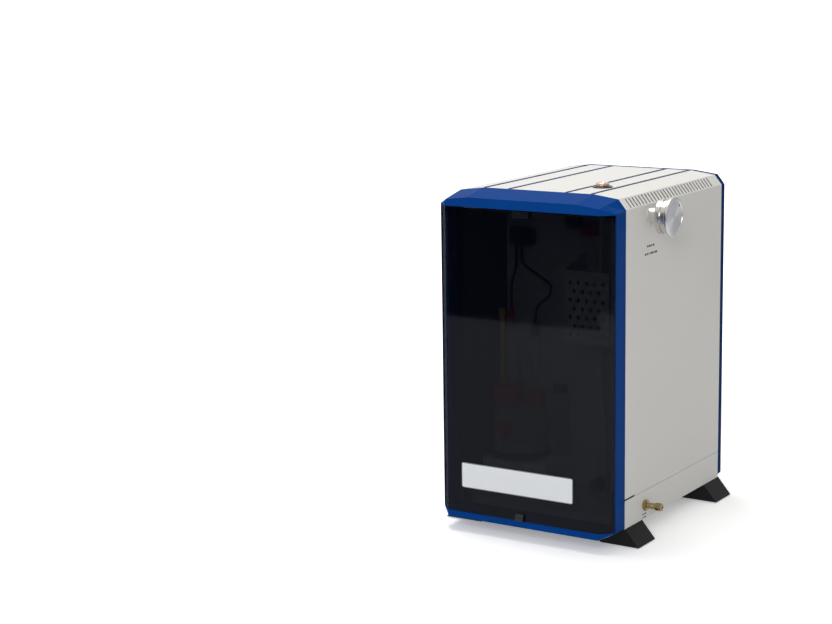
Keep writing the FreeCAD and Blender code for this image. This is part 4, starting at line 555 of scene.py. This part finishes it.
work = turned([
    (neck + 0.05, 1.9), (wide - 0.4, 1.9), (wide, 2.3), (wide, 5.4), (wide - 0.8, top), (6.1, top),
    (5.9, 5.5), (4.7, 5.5), (4.5, top), (3.2, top), (2.2, 5.5), (bore, 4.9), (bore, 4.65),
    (neck + 0.05, 4.65),
], port["steps"])
ridge = brick(work, port["ridge"], Vector((wide, 0, port["ridgeLevel"])) * mm)
seed = [face for face in work.faces if all(v in ridge for v in face.verts)]
for i in range(1, port["ridges"]):
    copy = bmesh.ops.duplicate(work, geom=seed)
    verts = [item for item in copy["geom"] if isinstance(item, bmesh.types.BMVert)]
    turn = Matrix.Rotation(math.tau * i / port["ridges"], 3, "Z")
    bmesh.ops.rotate(work, cent=(0, 0, 0), matrix=turn, verts=verts)
settled(pieceFrom(moved(work, where), "septum-nut-knurled"), "port_nut", "brass", ["septum_nut"],
        nutRings, 0.08)
print("injection port made")


# case screws with hexagon recesses, up into the feet and into the rear panel

screw = {"radius": 2, "head": 3.8, "tall": 2.4, "hex": 1.4, "deep": 1.3, "long": 24, "steps": 48}
footSeats = {"x": (-70, 70), "y": (26, 264), "z": -17.8}
rearSeats = {"x": (-118.88, 118.88), "y": 296, "z": (14.4, 393)}
radius, head, tall, hole = (screw[key] for key in ("radius", "head", "tall", "hex"))
deep, long = screw["deep"], screw["long"]
outline = [
    (0, -long), (radius, -long), (radius, 0), (head, 0), (head, tall - 0.9), (head - 0.3, tall - 0.35),
    (head - 0.9, tall), (hole, tall), (hole, tall - deep), (0, tall - deep),
]
seats = [(spot(x, y, footSeats["z"]), toFloor) for y in footSeats["y"] for x in footSeats["x"]]
seats += [(spot(x, rearSeats["y"], z), toBack) for z in rearSeats["z"] for x in rearSeats["x"]]
sixth = math.tau / 6
together = bmesh.new()
for where, turn in seats:
    work = turned(outline, screw["steps"])
    for vert in work.verts:  # the round recess becomes a hexagon
        if abs(vert.co.xy.length - hole * mm) < 0.1 * mm:
            angle = math.atan2(vert.co.y, vert.co.x) % sixth - sixth / 2
            vert.co.xy *= math.cos(sixth / 2) / math.cos(angle)
    moved(work, where, turn)
    mesh = bpy.data.meshes.new("screw")
    work.to_mesh(mesh)
    work.free()
    together.from_mesh(mesh)
    bpy.data.meshes.remove(mesh)
settled(pieceFrom(together, "case-screws-socket-head"), "cabinet", "steel", ["case_screws"])
print("screws made")


# pins of the mains inlet

pins = {"size": (2.1, 14.2, 4.1), "depth": 275, "at": ((70, 98), (63, 93), (77, 93))}
work = bmesh.new()
for x, z in pins["at"]:
    brick(work, pins["size"], spot(x, pins["depth"], z))
settled(pieceFrom(work, "mains-inlet-pins"), "cabinet", "steel", edge=0.3)
print("pins made")


# small printed marks on the right side, as plain strokes

printed = {
    "proud": 0.04, "apart": 1.5,
    "rows": (  # where the row begins, its level, its height, the strokes' widths
        (59, 357, 2.6, (4, 5, 3, 4)),
        (53, 347.2, 2.6, (4, 4, 1.4, 1.4, 6, 3, 6)),
        (51, 6.2, 1.8, (3, 1.5, 3)),
        (51, 1.8, 1.8, (2, 3, 2.5)),
    ),
}
work = bmesh.new()
for start, level, tall, strokes in printed["rows"]:
    for wide in strokes:
        where = spot(caseSize["half"] + printed["proud"] / 2, start + wide / 2, level)
        brick(work, (printed["proud"], wide, tall), where)
        start += wide + printed["apart"]
ink = moulded("printInk", tone(58, 58, 60), 0.6)
settled(pieceFrom(work, "side-print-strokes"), "cabinet", "black_paint", (), ink)
print("print made")


# stage, light and camera

stage = {  # strengths, and places in metres
    "soft": 0.36,
    "wallDarkens": (-0.2, -0.6, 0.75, 0.03),  # the room seen in mirrors, from its back to its front
    "ceilingLights": (0.25, 0.6, 0.0, 0.7),  # the same, from its walls up to its ceiling
    "floorSize": 40, "floor": 0.8, "floorSeen": 1.2,
    "whitens": (0.7, 1.5, 0.28, 1.0),  # the floor's own glow, from the object outwards
    "tableTone": (0.92, 0.96, 1.07), "tableFront": -1.44, "tableSide": 1.57, "tableGlow": 0.8,
    "beyond": 0.02, "aim": (0, 0, 0.2),
}
lamps = {
    "overhead": {"place": (-0.5, 0.1, 2.4), "size": (1.3, 1.0), "power": 27},
    "front": {"place": (1.0, -2.7, 1.4), "size": (1.4, 1.2), "power": 30},
}
stance = {  # the camera's, in millimetres, degrees and pixels
    "place": (1196, -2126, 736), "yaw": 33.05, "pitch": 10.75, "roll": -0.91, "focal": 1929.8,
    "picture": 832, "sensor": 36, "sight": 200,
}
white = (1, 1, 1, 1)

# white for the camera and through glass, a room that is dark in front for reflections, soft for the rest
sky = Finish("studio", "worlds")
bpy.context.scene.world = sky.item


def backdrop(strength):
    return sky.node("ShaderNodeBackground", {}, {"Color": white, "Strength": strength})


toward = sky.node("ShaderNodeTexCoord", output="Generated")
wall, ceiling = (sky.node("ShaderNodeSeparateXYZ", {}, {0: toward}, output=axis).ranged(*stage[key])
                 for axis, key in (("Y", "wallDarkens"), ("Z", "ceilingLights")))
room = backdrop(wall.larger(ceiling))
seen = sky.rays("Camera").larger(sky.rays("Transmission"))
even = backdrop(stage["soft"])
inner = sky.node("ShaderNodeMixShader", {}, {"Fac": sky.rays("Glossy"), 1: even, 2: room})
mixed = sky.node("ShaderNodeMixShader", {}, {"Fac": seen, 1: inner, 2: backdrop(1)})
sky.node("ShaderNodeOutputWorld", {}, {"Surface": mixed})

# the floor keeps the shadow, is white further off, and ends as a table does in reflections
work = bmesh.new()
bmesh.ops.create_grid(work, x_segments=1, y_segments=1, size=stage["floorSize"])
floor = pieceFrom(work, "floor")
f = Finish("paleFloor")
x, y = f.split("X"), f.split("Y")
camera = f.rays("Camera")
glow = camera * ((x * x + y * y) ** 0.5).ranged(*stage["whitens"])
table = (y > stage["tableFront"]) * (stage["tableSide"] > x)
pale = f.shade(camera, (stage["floor"],) * 3, (stage["floorSeen"],) * 3)
matt = f.node("ShaderNodeBsdfDiffuse", {}, {"Color": pale})
lit = f.node("ShaderNodeEmission", {}, {"Color": white, "Strength": glow})
both = f.node("ShaderNodeAddShader", {}, {0: matt, 1: lit})
mirrored = f.node("ShaderNodeEmission", {}, {
    "Color": (*stage["tableTone"], 1), "Strength": table * stage["tableGlow"] + stage["beyond"]})
mixed = f.node("ShaderNodeMixShader", {}, {0: f.rays("Glossy"), 1: both, 2: mirrored})
f.node("ShaderNodeOutputMaterial", {}, {"Surface": mixed})
floor.data.materials.append(f.item)

for name, lamp in lamps.items():
    data = bpy.data.lights.new(name, "AREA")
    data.shape = "RECTANGLE"
    data.size, data.size_y = lamp["size"]
    data.energy = lamp["power"]
    item = bpy.data.objects.new(name, data)
    bpy.context.collection.objects.link(item)
    item.location = lamp["place"]
    item.rotation_euler = (Vector(stage["aim"]) - item.location).to_track_quat("-Z", "Y").to_euler()

cameraData = bpy.data.cameras.new("camera")
camera = bpy.data.objects.new("camera", cameraData)
bpy.context.collection.objects.link(camera)
bpy.context.scene.camera = camera
yaw, pitch, roll = (math.radians(stance[key]) for key in ("yaw", "pitch", "roll"))
ahead = Vector((-math.sin(yaw) * math.cos(pitch), math.cos(yaw) * math.cos(pitch), -math.sin(pitch)))
right = Vector((math.cos(yaw), math.sin(yaw), 0))
up = right.cross(ahead)
across = math.cos(roll) * right + math.sin(roll) * up
above = math.cos(roll) * up - math.sin(roll) * right
turn = Matrix((across, above, -ahead)).transposed().to_4x4()
camera.matrix_world = Matrix.Translation(spot(*stance["place"])) @ turn
cameraData.sensor_width = stance["sensor"]
cameraData.lens = stance["focal"] * stance["sensor"] / stance["picture"]
cameraData.clip_end = stance["sight"]
bpy.context.scene.view_settings.view_transform = "Standard"
print("stage and camera set")
